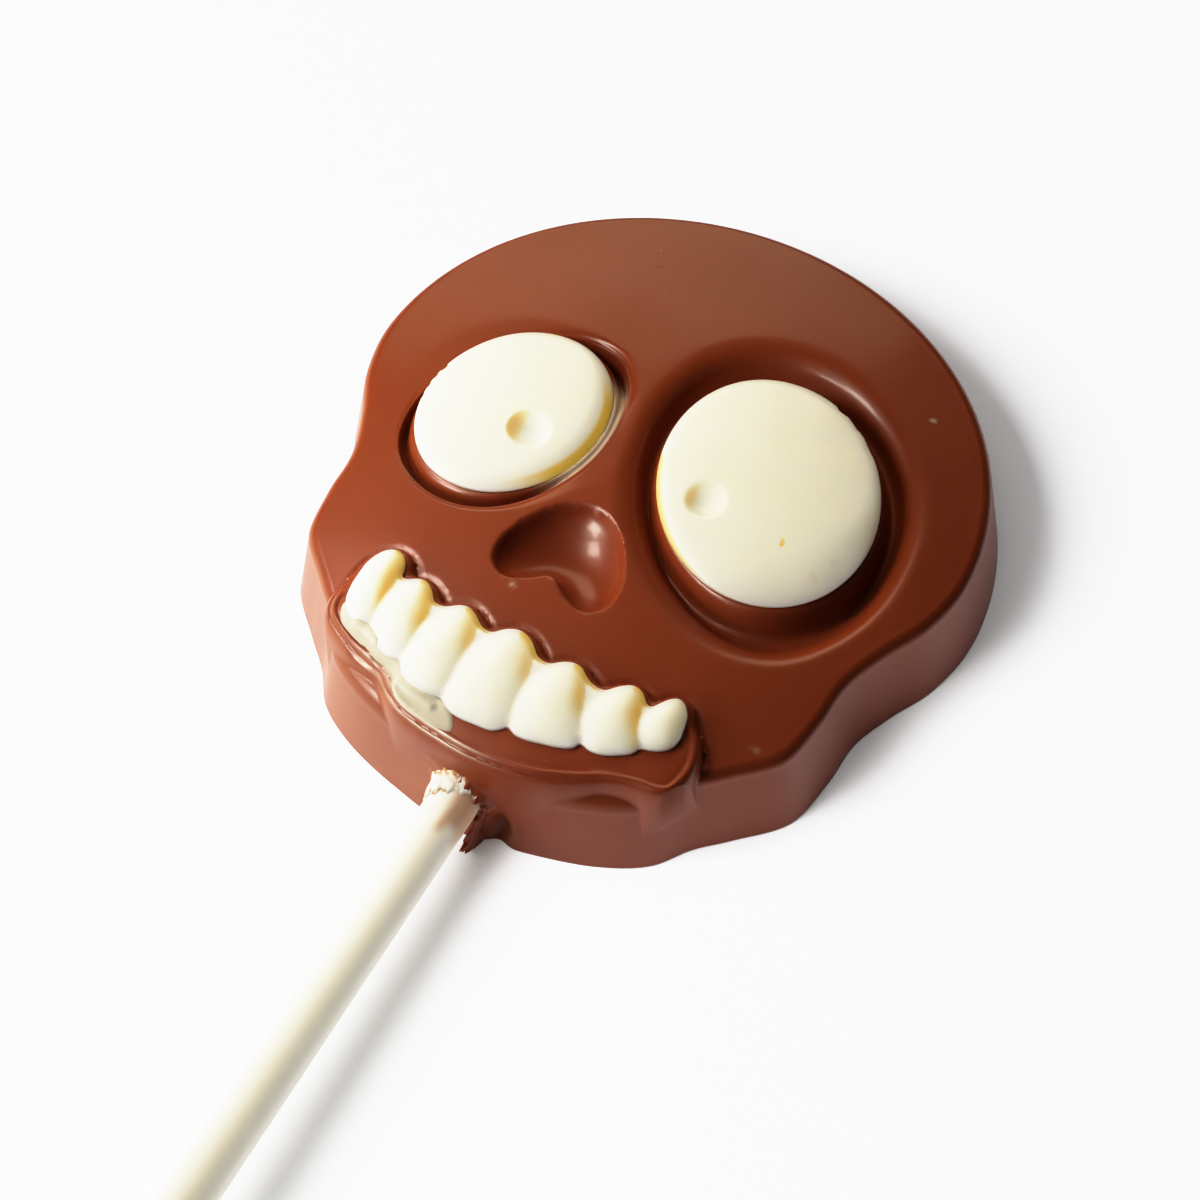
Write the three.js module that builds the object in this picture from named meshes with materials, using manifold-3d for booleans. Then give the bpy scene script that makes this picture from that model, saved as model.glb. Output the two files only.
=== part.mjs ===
// A moulded chocolate lollipop in the form of a grinning skull, lying on its flat back.
// Millimetres. X runs to the right across the face, Y up to the crown, Z out of the face.
// The origin is on the flat back, below the middle of the face. The stick runs out along -Y.
//
// Milk chocolate makes the head, the sockets and the gums. The two eyes and the row of
// teeth are white chocolate, cast first into the mould. The stick is rolled paper.

import * as THREE from 'three';
import { mergeVertices } from 'three/addons/utils/BufferGeometryUtils.js';
import Module from 'manifold-3d';

const wasm = await Module();
wasm.setup();

// Head: outline at the flat back, thickness, and the softly rounded edge of the face
const CRANIUM = { x: 0, y: 11.5, halfWidth: 30.9, height: 28.2 };
const LOWER_HALF_OUTLINE = [
  [29.8, 5.8], [27.7, 1.4], [26.3, -2.4], [26.0, -6.8], [24.9, -12.0], [21.2, -16.0],
  [18.6, -18.5], [16.3, -21.5], [12.6, -23.7], [6.8, -25.5],
];
const CHIN_Y = -26.6;
const FACE_EDGE_Z = 9.4;
const FACE_CROWN = 1.0;
const WALL_DRAFT = 1.4;
const EDGE_RADIUS = 1.1;
const FACE_CENTRE = { x: 0, y: 7 };
const OUTLINE_POINTS = 96;
const CRANIUM_STEPS = 12;
const EDGE_STEPS = 3;
const DOME_SHARES = [0.84, 0.64, 0.4, 0.15];
const FACE_TOP_Z = FACE_EDGE_Z + FACE_CROWN;
const CUT_ABOVE_FACE = 3;

// Eyes: an oval stud with a white cap stands in an oval socket, long from brow to cheek
const EYES = [
  {
    name: 'eye_left', x: -13.9, y: 8.1, halfLength: 9.6, halfWidth: 7.95, lean: -19.4,
    seatZ: 10.0, rimZ: 10.9, crownZ: 11.5, socketZ: 7.9, grooveEnd: 1.8, grooveSide: 1.6, shoulder: 0.8,
    pupil: { x: -11.8, y: 6.0 },
  },
  {
    name: 'eye_right', x: 10.15, y: 11.3, halfLength: 12.05, halfWidth: 9.9, lean: 31.7,
    seatZ: 10.3, rimZ: 11.3, crownZ: 12.0, socketZ: 7.6, grooveEnd: 3.2, grooveSide: 1.9, shoulder: 2.2,
    pupil: { x: 5.6, y: 7.2 },
  },
];
const EYE_POINTS = 48;
const EYE_RIM_RADIUS = 0.7;
const EYE_RIM_STEPS = 2;
const EYE_FOOT_GROWTH = 0.05;
const STUD_FOOT_GROWTH = 0.35;
const STUD_SUNK = 1;
const PUPIL_RADIUS = 2.3;
const PUPIL_DEPTH = 1.0;
const SEAT_GAP = 0.1;
// Dome of an eye: share of its half width in from the rim, share of the rise to its crown
const EYE_DOME = [[0.45, 0.76], [0.85, 1]];
// Socket wall: share of the groove's width, share of the way up to the edge of the face
const SOCKET_WALL = [[0.55, 0], [0.85, 0.3], [1, 0.7]];
// Shoulder of a socket: share of the shoulder's width, share of the face's own swelling
const SOCKET_SHOULDER = [[0.5, 0.2], [1.1, 0.6], [2, 1]];

// Nose: an upside-down heart pressed into the face, right half of its rim from its centre
const NOSE = { x: -2.3, y: -2.4, depth: 2.7 };
const NOSE_HALF_RIM = [
  [0, 4.9], [3.0, 3.6], [4.9, 0.9], [5.8, -1.9], [5.4, -3.9], [3.8, -4.9], [1.8, -4.1], [0, -2.9],
];
const NOSE_POINTS = 44;
// Nose wall: distance out from the rim, share of the way up from the floor
const NOSE_WALL = [[-1.5, 0], [-0.9, 0.17], [-0.3, 0.55], [0.3, 1]];

// Mouth: seven teeth on a raised gum, each tooth from its tip down to its biting edge
const TEETH = [
  { x: -15.2, tipY: -10.2, biteY: -17.9, halfWidth: 1.9 },
  { x: -11.4, tipY: -11.7, biteY: -19.9, halfWidth: 2.5 },
  { x: -6.7, tipY: -12.0, biteY: -21.6, halfWidth: 2.9 },
  { x: -1.1, tipY: -12.2, biteY: -21.9, halfWidth: 3.2 },
  { x: 4.6, tipY: -12.6, biteY: -21.0, halfWidth: 3.1 },
  { x: 9.9, tipY: -12.3, biteY: -19.4, halfWidth: 2.7 },
  { x: 13.8, tipY: -11.5, biteY: -17.2, halfWidth: 1.8 },
];
const TOOTH_POINTS = 28;
const TOOTH_TAPER = 0.26;
const TOOTH_PROUD = 1.5;
// Tooth: share of its outline, share of how far it stands proud
const TOOTH_PROFILE = [[1, 0], [0.97, 0.4], [0.86, 0.78], [0.62, 0.95], [0.25, 1]];
// White web between the teeth: set back from the tips and the biting edges, deeper between two
const WEB = { points: 72, proud: 0.7, edge: 0.35, tipInset: 0.7, biteInset: 0.6, tipDip: 1.5, biteDip: 1.2 };
const GUM_TOP_Z = 10.9;
const GUM_BEND_Z = 10.4;
const GUM_FOOT_Z = 8.9;
const GUM_BORDER = 0.35;
const GUM_SLOPE = 0.85;
const LIP_HALF_OUTLINE = [
  [0, -23.4], [4.6, -22.8], [7.8, -21.7], [10.9, -20.5], [13.4, -19.7], [15.6, -19.5], [16.9, -18.5],
  [17.2, -16.7], [16.9, -14.9], [15.8, -13.3], [9, -14.4],
];
const LIP_POINTS = 72;

// Stick: a rolled paper stick, pushed into the chin and lifted a little at its free end
const STICK = { x: 0, diameter: 4.4, length: 114, entryY: -26, entryZ: 5.0, embedded: 25, rise: 1.2 };
const STICK_END_CHAMFER = 0.25;
const BORE_GAP = 0.3;
const MOUTH_OF_BORE = { radius: 3.3, depth: 1.3, beyondChin: 2 };
const ROUND_SEGMENTS = 24;

const milkChocolate = new THREE.MeshStandardMaterial({ color: 0x6e3018, roughness: 0.33, metalness: 0 });
const whiteChocolate = new THREE.MeshStandardMaterial({ color: 0xf0e9cf, roughness: 0.38, metalness: 0 });
const paper = new THREE.MeshStandardMaterial({ color: 0xeeebdf, roughness: 0.85, metalness: 0 });

// Solid from closed rings of equal length, listed from the lowest to the highest
function stackedSolid(rings) {
  const count = rings[0].length;
  const positions = rings.flat().flatMap((p) => [p.x, p.y, p.z]);
  const index = [];
  for (let level = 0; level + 1 < rings.length; level += 1) {
    for (let i = 0; i < count; i += 1) {
      const next = (i + 1) % count;
      const a = level * count + i;
      const b = level * count + next;
      index.push(a, b, b + count, a, b + count, a + count);
    }
  }
  const lastStart = (rings.length - 1) * count;
  const flatten = (ring) => ring.map((p) => new THREE.Vector2(p.x, p.y));
  for (const [a, b, c] of THREE.ShapeUtils.triangulateShape(flatten(rings[0]), [])) {
    index.push(a, c, b);
  }
  for (const [a, b, c] of THREE.ShapeUtils.triangulateShape(flatten(rings.at(-1)), [])) {
    index.push(lastStart + a, lastStart + b, lastStart + c);
  }
  return solidFromArrays(positions, index);
}

function solidFromArrays(positions, index) {
  return new wasm.Manifold(new wasm.Mesh({
    numProp: 3, vertProperties: new Float32Array(positions), triVerts: new Uint32Array(index),
  }));
}

// Solid from a closed three.js geometry
function solidFromGeometry(geometry) {
  geometry.deleteAttribute('normal');
  geometry.deleteAttribute('uv');
  const merged = mergeVertices(geometry, 1e-4);
  return solidFromArrays(merged.attributes.position.array, merged.index.array);
}

function namedMesh(name, solid, material) {
  const { vertProperties, triVerts } = solid.getMesh();
  const geometry = new THREE.BufferGeometry();
  geometry.setAttribute('position', new THREE.BufferAttribute(vertProperties, 3));
  geometry.setIndex(new THREE.BufferAttribute(triVerts, 1));
  geometry.computeVertexNormals();
  const mesh = new THREE.Mesh(geometry, material);
  mesh.name = name;
  return mesh;
}

// Closed smooth curve through points, spread evenly along its length
function smoothOutline(points, count) {
  const curve = new THREE.CatmullRomCurve3(points.map(([x, y]) => new THREE.Vector3(x, y, 0)), true);
  return curve.getSpacedPoints(count).slice(0, count);
}

const mirrorPoints = (points) => points.map(([x, y]) => [-x, y]).reverse();

// The outline moved outwards by a distance (inwards if it is negative) and set at a height
function offsetRing(outline, distance, z) {
  const count = outline.length;
  return outline.map((point, i) => {
    const before = outline[(i + count - 1) % count];
    const after = outline[(i + 1) % count];
    const along = new THREE.Vector2(after.x - before.x, after.y - before.y).normalize();
    return new THREE.Vector3(point.x + along.y * distance, point.y - along.x * distance, z);
  });
}

function skullOutline() {
  const arc = [];
  for (let i = 0; i <= CRANIUM_STEPS; i += 1) {
    const angle = (Math.PI * i) / CRANIUM_STEPS;
    arc.push([
      CRANIUM.x + CRANIUM.halfWidth * Math.cos(angle),
      CRANIUM.y + CRANIUM.height * Math.sin(angle),
    ]);
  }
  const rightJaw = [...LOWER_HALF_OUTLINE].reverse();
  const outline = [...arc, ...mirrorPoints(rightJaw), [0, CHIN_Y], ...rightJaw];
  return smoothOutline(outline, OUTLINE_POINTS);
}

// Flat back, drafted wall, rounded edge, and a face that swells towards its middle
function headSolid() {
  const outline = skullOutline();
  const rings = [outline, offsetRing(outline, -WALL_DRAFT, FACE_EDGE_Z - EDGE_RADIUS)];
  for (let i = 1; i <= EDGE_STEPS; i += 1) {
    const angle = (Math.PI / 2) * (i / EDGE_STEPS);
    const inset = WALL_DRAFT + EDGE_RADIUS * (1 - Math.cos(angle));
    rings.push(offsetRing(outline, -inset, FACE_EDGE_Z - EDGE_RADIUS * (1 - Math.sin(angle))));
  }
  const faceEdge = rings.at(-1);
  for (const share of DOME_SHARES) {
    rings.push(faceEdge.map((p) => new THREE.Vector3(
      FACE_CENTRE.x + (p.x - FACE_CENTRE.x) * share,
      FACE_CENTRE.y + (p.y - FACE_CENTRE.y) * share,
      FACE_EDGE_Z + FACE_CROWN * (1 - share * share),
    )));
  }
  return stackedSolid(rings);
}

// Oval ring of an eye, grown beyond its own half length and half width
function ovalRing(eye, growth, z, sideGrowth = growth) {
  const lean = THREE.MathUtils.degToRad(eye.lean);
  return Array.from({ length: EYE_POINTS }, (_, i) => {
    const angle = (2 * Math.PI * i) / EYE_POINTS;
    const across = (eye.halfWidth + sideGrowth) * Math.cos(angle);
    const along = (eye.halfLength + growth) * Math.sin(angle);
    return new THREE.Vector3(
      eye.x + across * Math.cos(lean) - along * Math.sin(lean),
      eye.y + across * Math.sin(lean) + along * Math.cos(lean),
      z,
    );
  });
}

// Socket round an eye, with a steep wall and a soft shoulder where it meets the face
function socketSolid(eye) {
  const rings = SOCKET_WALL.map(([share, up]) => ovalRing(
    eye, eye.grooveEnd * share, eye.socketZ + (FACE_EDGE_Z - eye.socketZ) * up, eye.grooveSide * share,
  ));
  for (const [share, up] of SOCKET_SHOULDER) {
    const out = eye.shoulder * share;
    rings.push(ovalRing(eye, eye.grooveEnd + out, FACE_EDGE_Z + FACE_CROWN * up, eye.grooveSide + out));
  }
  rings.push(rings.at(-1).map((p) => new THREE.Vector3(p.x, p.y, FACE_TOP_Z + CUT_ABOVE_FACE)));
  return stackedSolid(rings);
}

function studSolid(eye) {
  return stackedSolid([
    ovalRing(eye, STUD_FOOT_GROWTH, eye.socketZ - STUD_SUNK),
    ovalRing(eye, STUD_FOOT_GROWTH, eye.socketZ),
    ovalRing(eye, EYE_FOOT_GROWTH, eye.seatZ),
  ]);
}

// White cap with a rounded rim and a low dome, less the small round pupil
function eyeCapSolid(eye) {
  const rings = [ovalRing(eye, EYE_FOOT_GROWTH, eye.seatZ + SEAT_GAP)];
  for (let i = 0; i <= EYE_RIM_STEPS; i += 1) {
    const angle = (Math.PI / 2) * (i / EYE_RIM_STEPS);
    const inset = EYE_RIM_RADIUS * (1 - Math.cos(angle));
    rings.push(ovalRing(eye, -inset, eye.rimZ - EYE_RIM_RADIUS * (1 - Math.sin(angle))));
  }
  for (const [share, up] of EYE_DOME) {
    rings.push(ovalRing(eye, -eye.halfWidth * share, eye.rimZ + (eye.crownZ - eye.rimZ) * up));
  }
  const pupil = new THREE.SphereGeometry(PUPIL_RADIUS, ROUND_SEGMENTS, ROUND_SEGMENTS / 2);
  pupil.translate(eye.pupil.x, eye.pupil.y, eye.crownZ - PUPIL_DEPTH + PUPIL_RADIUS);
  return stackedSolid(rings).subtract(solidFromGeometry(pupil));
}

function noseSolid() {
  const rightSide = NOSE_HALF_RIM.map(([x, y]) => [NOSE.x + x, NOSE.y + y]);
  const leftSide = NOSE_HALF_RIM.slice(1, -1).map(([x, y]) => [NOSE.x - x, NOSE.y + y]);
  const rim = smoothOutline([...leftSide, ...rightSide.reverse()], NOSE_POINTS);
  const rings = NOSE_WALL.map(([out, up]) => offsetRing(rim, out, FACE_TOP_Z - NOSE.depth * (1 - up)));
  rings.push(rings.at(-1).map((p) => new THREE.Vector3(p.x, p.y, FACE_TOP_Z + CUT_ABOVE_FACE)));
  return stackedSolid(rings);
}

// Egg-shaped outline of a tooth, narrow at its tip, grown by a distance
function toothRing(tooth, growth, share, z) {
  const halfHeight = (tooth.tipY - tooth.biteY) / 2;
  const middleY = (tooth.tipY + tooth.biteY) / 2;
  return Array.from({ length: TOOTH_POINTS }, (_, i) => {
    const angle = (2 * Math.PI * i) / TOOTH_POINTS;
    const across = (tooth.halfWidth * share + growth) * Math.cos(angle) * (1 - TOOTH_TAPER * Math.sin(angle));
    const along = (halfHeight * share + growth) * Math.sin(angle);
    return new THREE.Vector3(tooth.x + across, middleY + along, z);
  });
}

function toothSolid(tooth) {
  const seat = GUM_TOP_Z + SEAT_GAP;
  return stackedSolid(TOOTH_PROFILE.map(
    ([share, up]) => toothRing(tooth, 0, share, seat + TOOTH_PROUD * up),
  ));
}

// Outline of the web between the teeth: it dips between two tips and between two biting edges
function webOutline() {
  const upper = [];
  const lower = [];
  TEETH.forEach((tooth, i) => {
    upper.push([tooth.x, tooth.tipY - WEB.tipInset]);
    lower.push([tooth.x, tooth.biteY + WEB.biteInset]);
    const next = TEETH[i + 1];
    if (next) {
      const x = (tooth.x + next.x) / 2;
      upper.push([x, (tooth.tipY + next.tipY) / 2 - WEB.tipDip]);
      lower.push([x, (tooth.biteY + next.biteY) / 2 + WEB.biteDip]);
    }
  });
  return smoothOutline([...lower, ...upper.reverse()], WEB.points);
}

function webSolid() {
  const outline = webOutline();
  const seat = GUM_TOP_Z + SEAT_GAP;
  return stackedSolid([
    offsetRing(outline, 0, seat),
    offsetRing(outline, 0, seat + WEB.proud - WEB.edge),
    offsetRing(outline, -WEB.edge, seat + WEB.proud),
  ]);
}

// The gum falls away from the teeth by the same slope all round them
function gumSlope(ringAt) {
  return stackedSolid([
    ringAt(GUM_BORDER + GUM_SLOPE, GUM_FOOT_Z),
    ringAt(GUM_BORDER + GUM_SLOPE / 2, GUM_BEND_Z),
    ringAt(GUM_BORDER, GUM_TOP_Z),
  ]);
}

// The bent band under the teeth, which ends in the lower lip
function lipSolid() {
  const leftHalf = mirrorPoints(LIP_HALF_OUTLINE.slice(1));
  const outline = smoothOutline([...leftHalf, ...LIP_HALF_OUTLINE], LIP_POINTS);
  return gumSlope((growth, z) => offsetRing(outline, growth - GUM_BORDER, z));
}

// Solid of revolution laid along the stick, from the stick's inner end towards its free end
function turnedAlongStick(profile) {
  const rise = THREE.MathUtils.degToRad(STICK.rise);
  const points = profile.map(([radius, along]) => new THREE.Vector2(radius, along));
  const geometry = new THREE.LatheGeometry(points, ROUND_SEGMENTS);
  geometry.rotateX(Math.PI - rise);
  geometry.translate(
    STICK.x,
    STICK.entryY + STICK.embedded * Math.cos(rise),
    STICK.entryZ - STICK.embedded * Math.sin(rise),
  );
  return solidFromGeometry(geometry);
}

function stickSolid() {
  const radius = STICK.diameter / 2;
  const chamfer = STICK_END_CHAMFER;
  return turnedAlongStick([
    [0, 0], [radius - chamfer, 0], [radius, chamfer],
    [radius, STICK.length - chamfer], [radius - chamfer, STICK.length], [0, STICK.length],
  ]);
}

// Hole for the stick, torn a little wider where the stick enters the chin
function boreSolid() {
  const radius = STICK.diameter / 2 + BORE_GAP;
  const chin = STICK.embedded + (STICK.entryY - CHIN_Y);
  const outside = chin + MOUTH_OF_BORE.beyondChin;
  return turnedAlongStick([
    [0, -BORE_GAP], [radius, -BORE_GAP], [radius, chin - MOUTH_OF_BORE.depth],
    [MOUTH_OF_BORE.radius, chin], [MOUTH_OF_BORE.radius, outside], [0, outside],
  ]);
}

function chocolateHead() {
  let head = headSolid();
  for (const eye of EYES) {
    head = head.subtract(socketSolid(eye)).add(studSolid(eye));
  }
  head = head.subtract(noseSolid()).add(lipSolid());
  const web = webOutline();
  head = head.add(gumSlope((growth, z) => offsetRing(web, growth, z)));
  for (const tooth of TEETH) {
    head = head.add(gumSlope((growth, z) => toothRing(tooth, growth, 1, z)));
  }
  return head.subtract(boreSolid());
}

function rowOfTeeth() {
  return TEETH.map(toothSolid).reduce((row, tooth) => row.add(tooth), webSolid());
}

const lollipop = new THREE.Group();
lollipop.add(namedMesh('skull_body', chocolateHead(), milkChocolate));
for (const eye of EYES) {
  lollipop.add(namedMesh(eye.name, eyeCapSolid(eye), whiteChocolate.clone()));
}
lollipop.add(namedMesh('teeth', rowOfTeeth(), whiteChocolate.clone()));
lollipop.add(namedMesh('stick', stickSolid(), paper));

export default lollipop;
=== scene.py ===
# %% [markdown]
# # A chocolate skull lollipop
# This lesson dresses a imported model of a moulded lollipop: a grinning skull of milk chocolate
# with white-chocolate eyes and teeth on a rolled paper stick. The model is a plain solid with
# the right sizes. Here each solid gets a finer mesh of the same form, and a material that is
# worked out from nodes.

import math

import bpy
import numpy as np
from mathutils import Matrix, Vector
from mathutils.geometry import delaunay_2d_cdt


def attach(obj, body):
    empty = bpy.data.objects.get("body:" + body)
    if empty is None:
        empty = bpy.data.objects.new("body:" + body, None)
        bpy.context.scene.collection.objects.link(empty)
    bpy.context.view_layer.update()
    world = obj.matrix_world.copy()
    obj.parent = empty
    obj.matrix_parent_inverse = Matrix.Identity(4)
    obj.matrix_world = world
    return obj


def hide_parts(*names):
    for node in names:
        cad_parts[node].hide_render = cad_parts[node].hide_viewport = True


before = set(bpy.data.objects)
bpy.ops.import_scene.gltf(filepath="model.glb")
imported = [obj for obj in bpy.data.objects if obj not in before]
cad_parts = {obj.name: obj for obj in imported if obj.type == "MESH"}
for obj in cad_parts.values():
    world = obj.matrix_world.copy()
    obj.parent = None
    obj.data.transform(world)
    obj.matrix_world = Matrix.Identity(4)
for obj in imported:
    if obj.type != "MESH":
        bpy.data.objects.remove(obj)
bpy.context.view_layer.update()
print("nodes", sorted(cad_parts))

# %% [markdown]
# ## Camera
# A moulded sweet is small, so the camera stands close: a long lens from about 27 cm keeps the
# face from bulging. It looks down at 58 degrees from the right of the stick. An empty target
# would do too, but turning the camera by a direction keeps the script to one object.

# %% Camera at the photograph's angle
MM = 0.001
CAMERA_PLACE = (69.8, -126.4, 228.9)
CAMERA_TARGET = (-0.56, 0.0, 0.0)
CAMERA_LENS = 90.0
SENSOR_WIDTH = 36.0

scene = bpy.context.scene
camera = bpy.data.objects.new("camera", bpy.data.cameras.new("camera"))
scene.collection.objects.link(camera)
camera.location = Vector(CAMERA_PLACE) * MM
sight = (Vector(CAMERA_TARGET) - Vector(CAMERA_PLACE)) * MM
camera.rotation_mode = "QUATERNION"
camera.rotation_quaternion = sight.to_track_quat("-Z", "Y")
camera.data.lens = CAMERA_LENS
camera.data.sensor_width = SENSOR_WIDTH
camera.data.clip_start = 0.01
camera.data.clip_end = 20.0
scene.camera = camera
print("camera looks down by", round(math.degrees(math.asin(-sight.z / sight.length)), 1), "degrees")

# %% [markdown]
# ## Smooth closed curves
# The outline of the head, the nose and the lip are all drawn by a few points with a smooth
# curve through them. A curve object could hold them, but the meshes need many evenly spread
# points, their offsets and the distance to them, so the curves are worked out as arrays.
# The curve is the same as in the solid model: it passes through its points without overshoot.

# %% Points spread along a closed line
def spread_evenly(loop, count, closeness=None):
    """The same closed line with its points spread evenly along its length, or closer together
    where the closeness of a place is higher."""
    closed = np.vstack([loop, loop[:1]])
    steps = np.linalg.norm(np.diff(closed, axis=0), axis=1)
    if closeness:
        steps = steps * closeness(closed[:-1])
    along = np.concatenate([[0.0], np.cumsum(steps)])
    wanted = np.linspace(0.0, along[-1], count, endpoint=False)
    return np.column_stack([np.interp(wanted, along, closed[:, axis]) for axis in (0, 1)])


square = np.array([(1.0, 0.0), (0.0, 1.0), (-1.0, 0.0), (0.0, -1.0)])
print("eight points round a square", spread_evenly(square, 8).round(2).tolist())

# %% Smooth curves
def curve_span(p0, p1, p2, p3, steps):
    """Points from p1 to just before p2 on a smooth curve through all four."""
    d0 = max(np.linalg.norm(p1 - p0), 1e-6) ** 0.5
    d1 = max(np.linalg.norm(p2 - p1), 1e-6) ** 0.5
    d2 = max(np.linalg.norm(p3 - p2), 1e-6) ** 0.5
    leave = ((p1 - p0) / d0 - (p2 - p0) / (d0 + d1) + (p2 - p1) / d1) * d1
    arrive = ((p2 - p1) / d1 - (p3 - p1) / (d1 + d2) + (p3 - p2) / d2) * d1
    t = np.linspace(0.0, 1.0, steps, endpoint=False)[:, None]
    return (
        (2 * t**3 - 3 * t**2 + 1) * p1
        + (t**3 - 2 * t**2 + t) * leave
        + (3 * t**2 - 2 * t**3) * p2
        + (t**3 - t**2) * arrive
    )


def smooth_loop(points, count, steps=40):
    """A closed smooth curve through the points, as evenly spread points."""
    p = np.array(points, float)
    n = len(p)
    spans = [curve_span(p[i - 1], p[i], p[(i + 1) % n], p[(i + 2) % n], steps) for i in range(n)]
    return spread_evenly(np.vstack(spans), count)


def smooth_path(points, steps=24):
    """An open smooth curve through the points, from the first to the last."""
    p = np.array(points, float)
    p = np.vstack([2 * p[0] - p[1], p, 2 * p[-1] - p[-2]])
    spans = [curve_span(p[i - 1], p[i], p[i + 1], p[i + 2], steps) for i in range(1, len(p) - 2)]
    return np.vstack(spans + [p[-2:-1]])


def offset_loop(loop, distance):
    """The loop moved outwards by a distance, or inwards if it is negative."""
    along = np.roll(loop, -1, axis=0) - np.roll(loop, 1, axis=0)
    along /= np.linalg.norm(along, axis=1)[:, None]
    return loop + np.column_stack([along[:, 1], -along[:, 0]]) * np.reshape(distance, (-1, 1))


round_loop = smooth_loop(square, 120)
reach = np.linalg.norm(round_loop, axis=1)
print("a curve through its corners is", reach.min().round(3), "to", reach.max().round(3), "from the middle")

# %% [markdown]
# The distance to a curve is what later heights are read by: it is negative inside, so one number
# says on which side of a rim a place lies and how far away. The points are taken in parts,
# because a table of all points by all pieces of the curve would be too large.

# %% Distance to a closed curve
POINTS_AT_A_TIME = 4000


def inside_loop(points, loop):
    """True for the points that lie inside the loop."""
    x, y = points[:, 0][:, None], points[:, 1][:, None]
    ax, ay = loop[:, 0], loop[:, 1]
    bx, by = np.roll(ax, -1), np.roll(ay, -1)
    crosses = (ay > y) != (by > y)
    span = np.where(by == ay, 1e-12, by - ay)
    left_of = x < ax + (y - ay) / span * (bx - ax)
    return (crosses & left_of).sum(axis=1) % 2 == 1


def distance_to_loop(points, loop):
    """Distance from each point to the loop, negative inside it."""
    result = np.empty(len(points))
    ends = np.roll(loop, -1, axis=0)
    run = ends - loop
    length2 = np.maximum((run**2).sum(axis=1), 1e-12)
    for start in range(0, len(points), POINTS_AT_A_TIME):
        part = points[start : start + POINTS_AT_A_TIME]
        gap = part[:, None, :] - loop[None]
        t = np.clip((gap * run[None]).sum(axis=2) / length2, 0.0, 1.0)
        near = np.linalg.norm(gap - t[:, :, None] * run[None], axis=2).min(axis=1)
        result[start : start + len(part)] = np.where(inside_loop(part, loop), -near, near)
    return result


print("distance of the middle from the round curve", distance_to_loop(square[:1] * 0, round_loop).round(3))

# %% [markdown]
# Some rims aren't drawn at all: they come from joining other outlines softly. To get points on
# such a rim, a rough line is pushed along the slope of the distance until the distance is zero.

# %% Curve along a level
SETTLING_ROUNDS = 16
SETTLING_STEP = 0.02


def settle_on_level(loop, distance_at):
    """Moves the loop's points onto the line where a distance is zero."""
    step = SETTLING_STEP
    for _ in range(SETTLING_ROUNDS):
        here = distance_at(loop)
        slope_x = (distance_at(loop + (step, 0)) - distance_at(loop - (step, 0))) / (2 * step)
        slope_y = (distance_at(loop + (0, step)) - distance_at(loop - (0, step))) / (2 * step)
        slope2 = np.maximum(slope_x**2 + slope_y**2, 0.2)
        loop = loop - np.column_stack([slope_x, slope_y]) * (here / slope2)[:, None] * 0.8
        loop = spread_evenly(loop, len(loop))
    return loop


half_out = settle_on_level(round_loop, lambda points: distance_to_loop(points, round_loop) - 0.5)
print("moved half a millimetre out, the round curve is", np.ptp(half_out, axis=0).round(2), "wide and tall")

# %% [markdown]
# ## Helpers for soft joins and unevenness
# Where chocolate meets chocolate in a mould there is never a knife edge: every corner is
# filleted. Taking the lower or higher of two surfaces with a soft change between them gives
# that fillet for free. Low ripples from a few sine waves keep large faces from being perfect.

# %% Soft joins and ripples
def soft_min(a, b, blend):
    """The lower of two heights, with a fillet as wide as the blend."""
    h = np.clip(0.5 + 0.5 * (b - a) / blend, 0.0, 1.0)
    return b * (1 - h) + a * h - blend * h * (1 - h)


def soft_max(a, b, blend):
    """The higher of two heights, with a fillet as wide as the blend."""
    return -soft_min(-a, -b, blend)


def ease(value, low, high):
    """0 below low, 1 above high, and a smooth change between them."""
    t = np.clip((value - low) / (high - low), 0.0, 1.0)
    return t * t * (3 - 2 * t)


RIPPLE_WAVES = 14
RIPPLE_SIZE = 5.0


def ripple(points, wavelength, seed):
    """Smooth unevenness from about -1 to 1 with one main wavelength, in any number of axes."""
    random = np.random.default_rng(seed)
    total = np.zeros(len(points))
    for _ in range(RIPPLE_WAVES):
        direction = random.normal(size=points.shape[1])
        direction /= np.linalg.norm(direction)
        turns = 2 * math.pi / (wavelength * random.uniform(0.7, 1.5))
        total += np.sin(points @ direction * turns + random.uniform(0, 2 * math.pi))
    return total / RIPPLE_SIZE


def bump(gap, width):
    """1 where the gap is nothing, and softly down to 0 beyond the width."""
    return np.exp(-((gap / width) ** 2))


def bump_towards(turn, middle, width):
    """1 in the middle direction, and softly down to 0 beyond the width, all in radians."""
    gap = turn - middle
    return bump(np.arctan2(np.sin(gap), np.cos(gap)), width)


print("fillet of two equal heights 0.3 wide lies", round(float(-soft_min(0.0, 0.0, 0.3)), 3), "lower")

# %% [markdown]
# ## Pillows and bowls
# A tooth is a pillow and the nose is a bowl, and both have an odd outline. A height that follows
# the distance from the outline gets a crease along its middle. A soap film blown up over the
# outline has none: every place of it is as high as its neighbours' mean plus a little push.

# %% A film blown up over an outline
PUSH = 0.001


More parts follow.
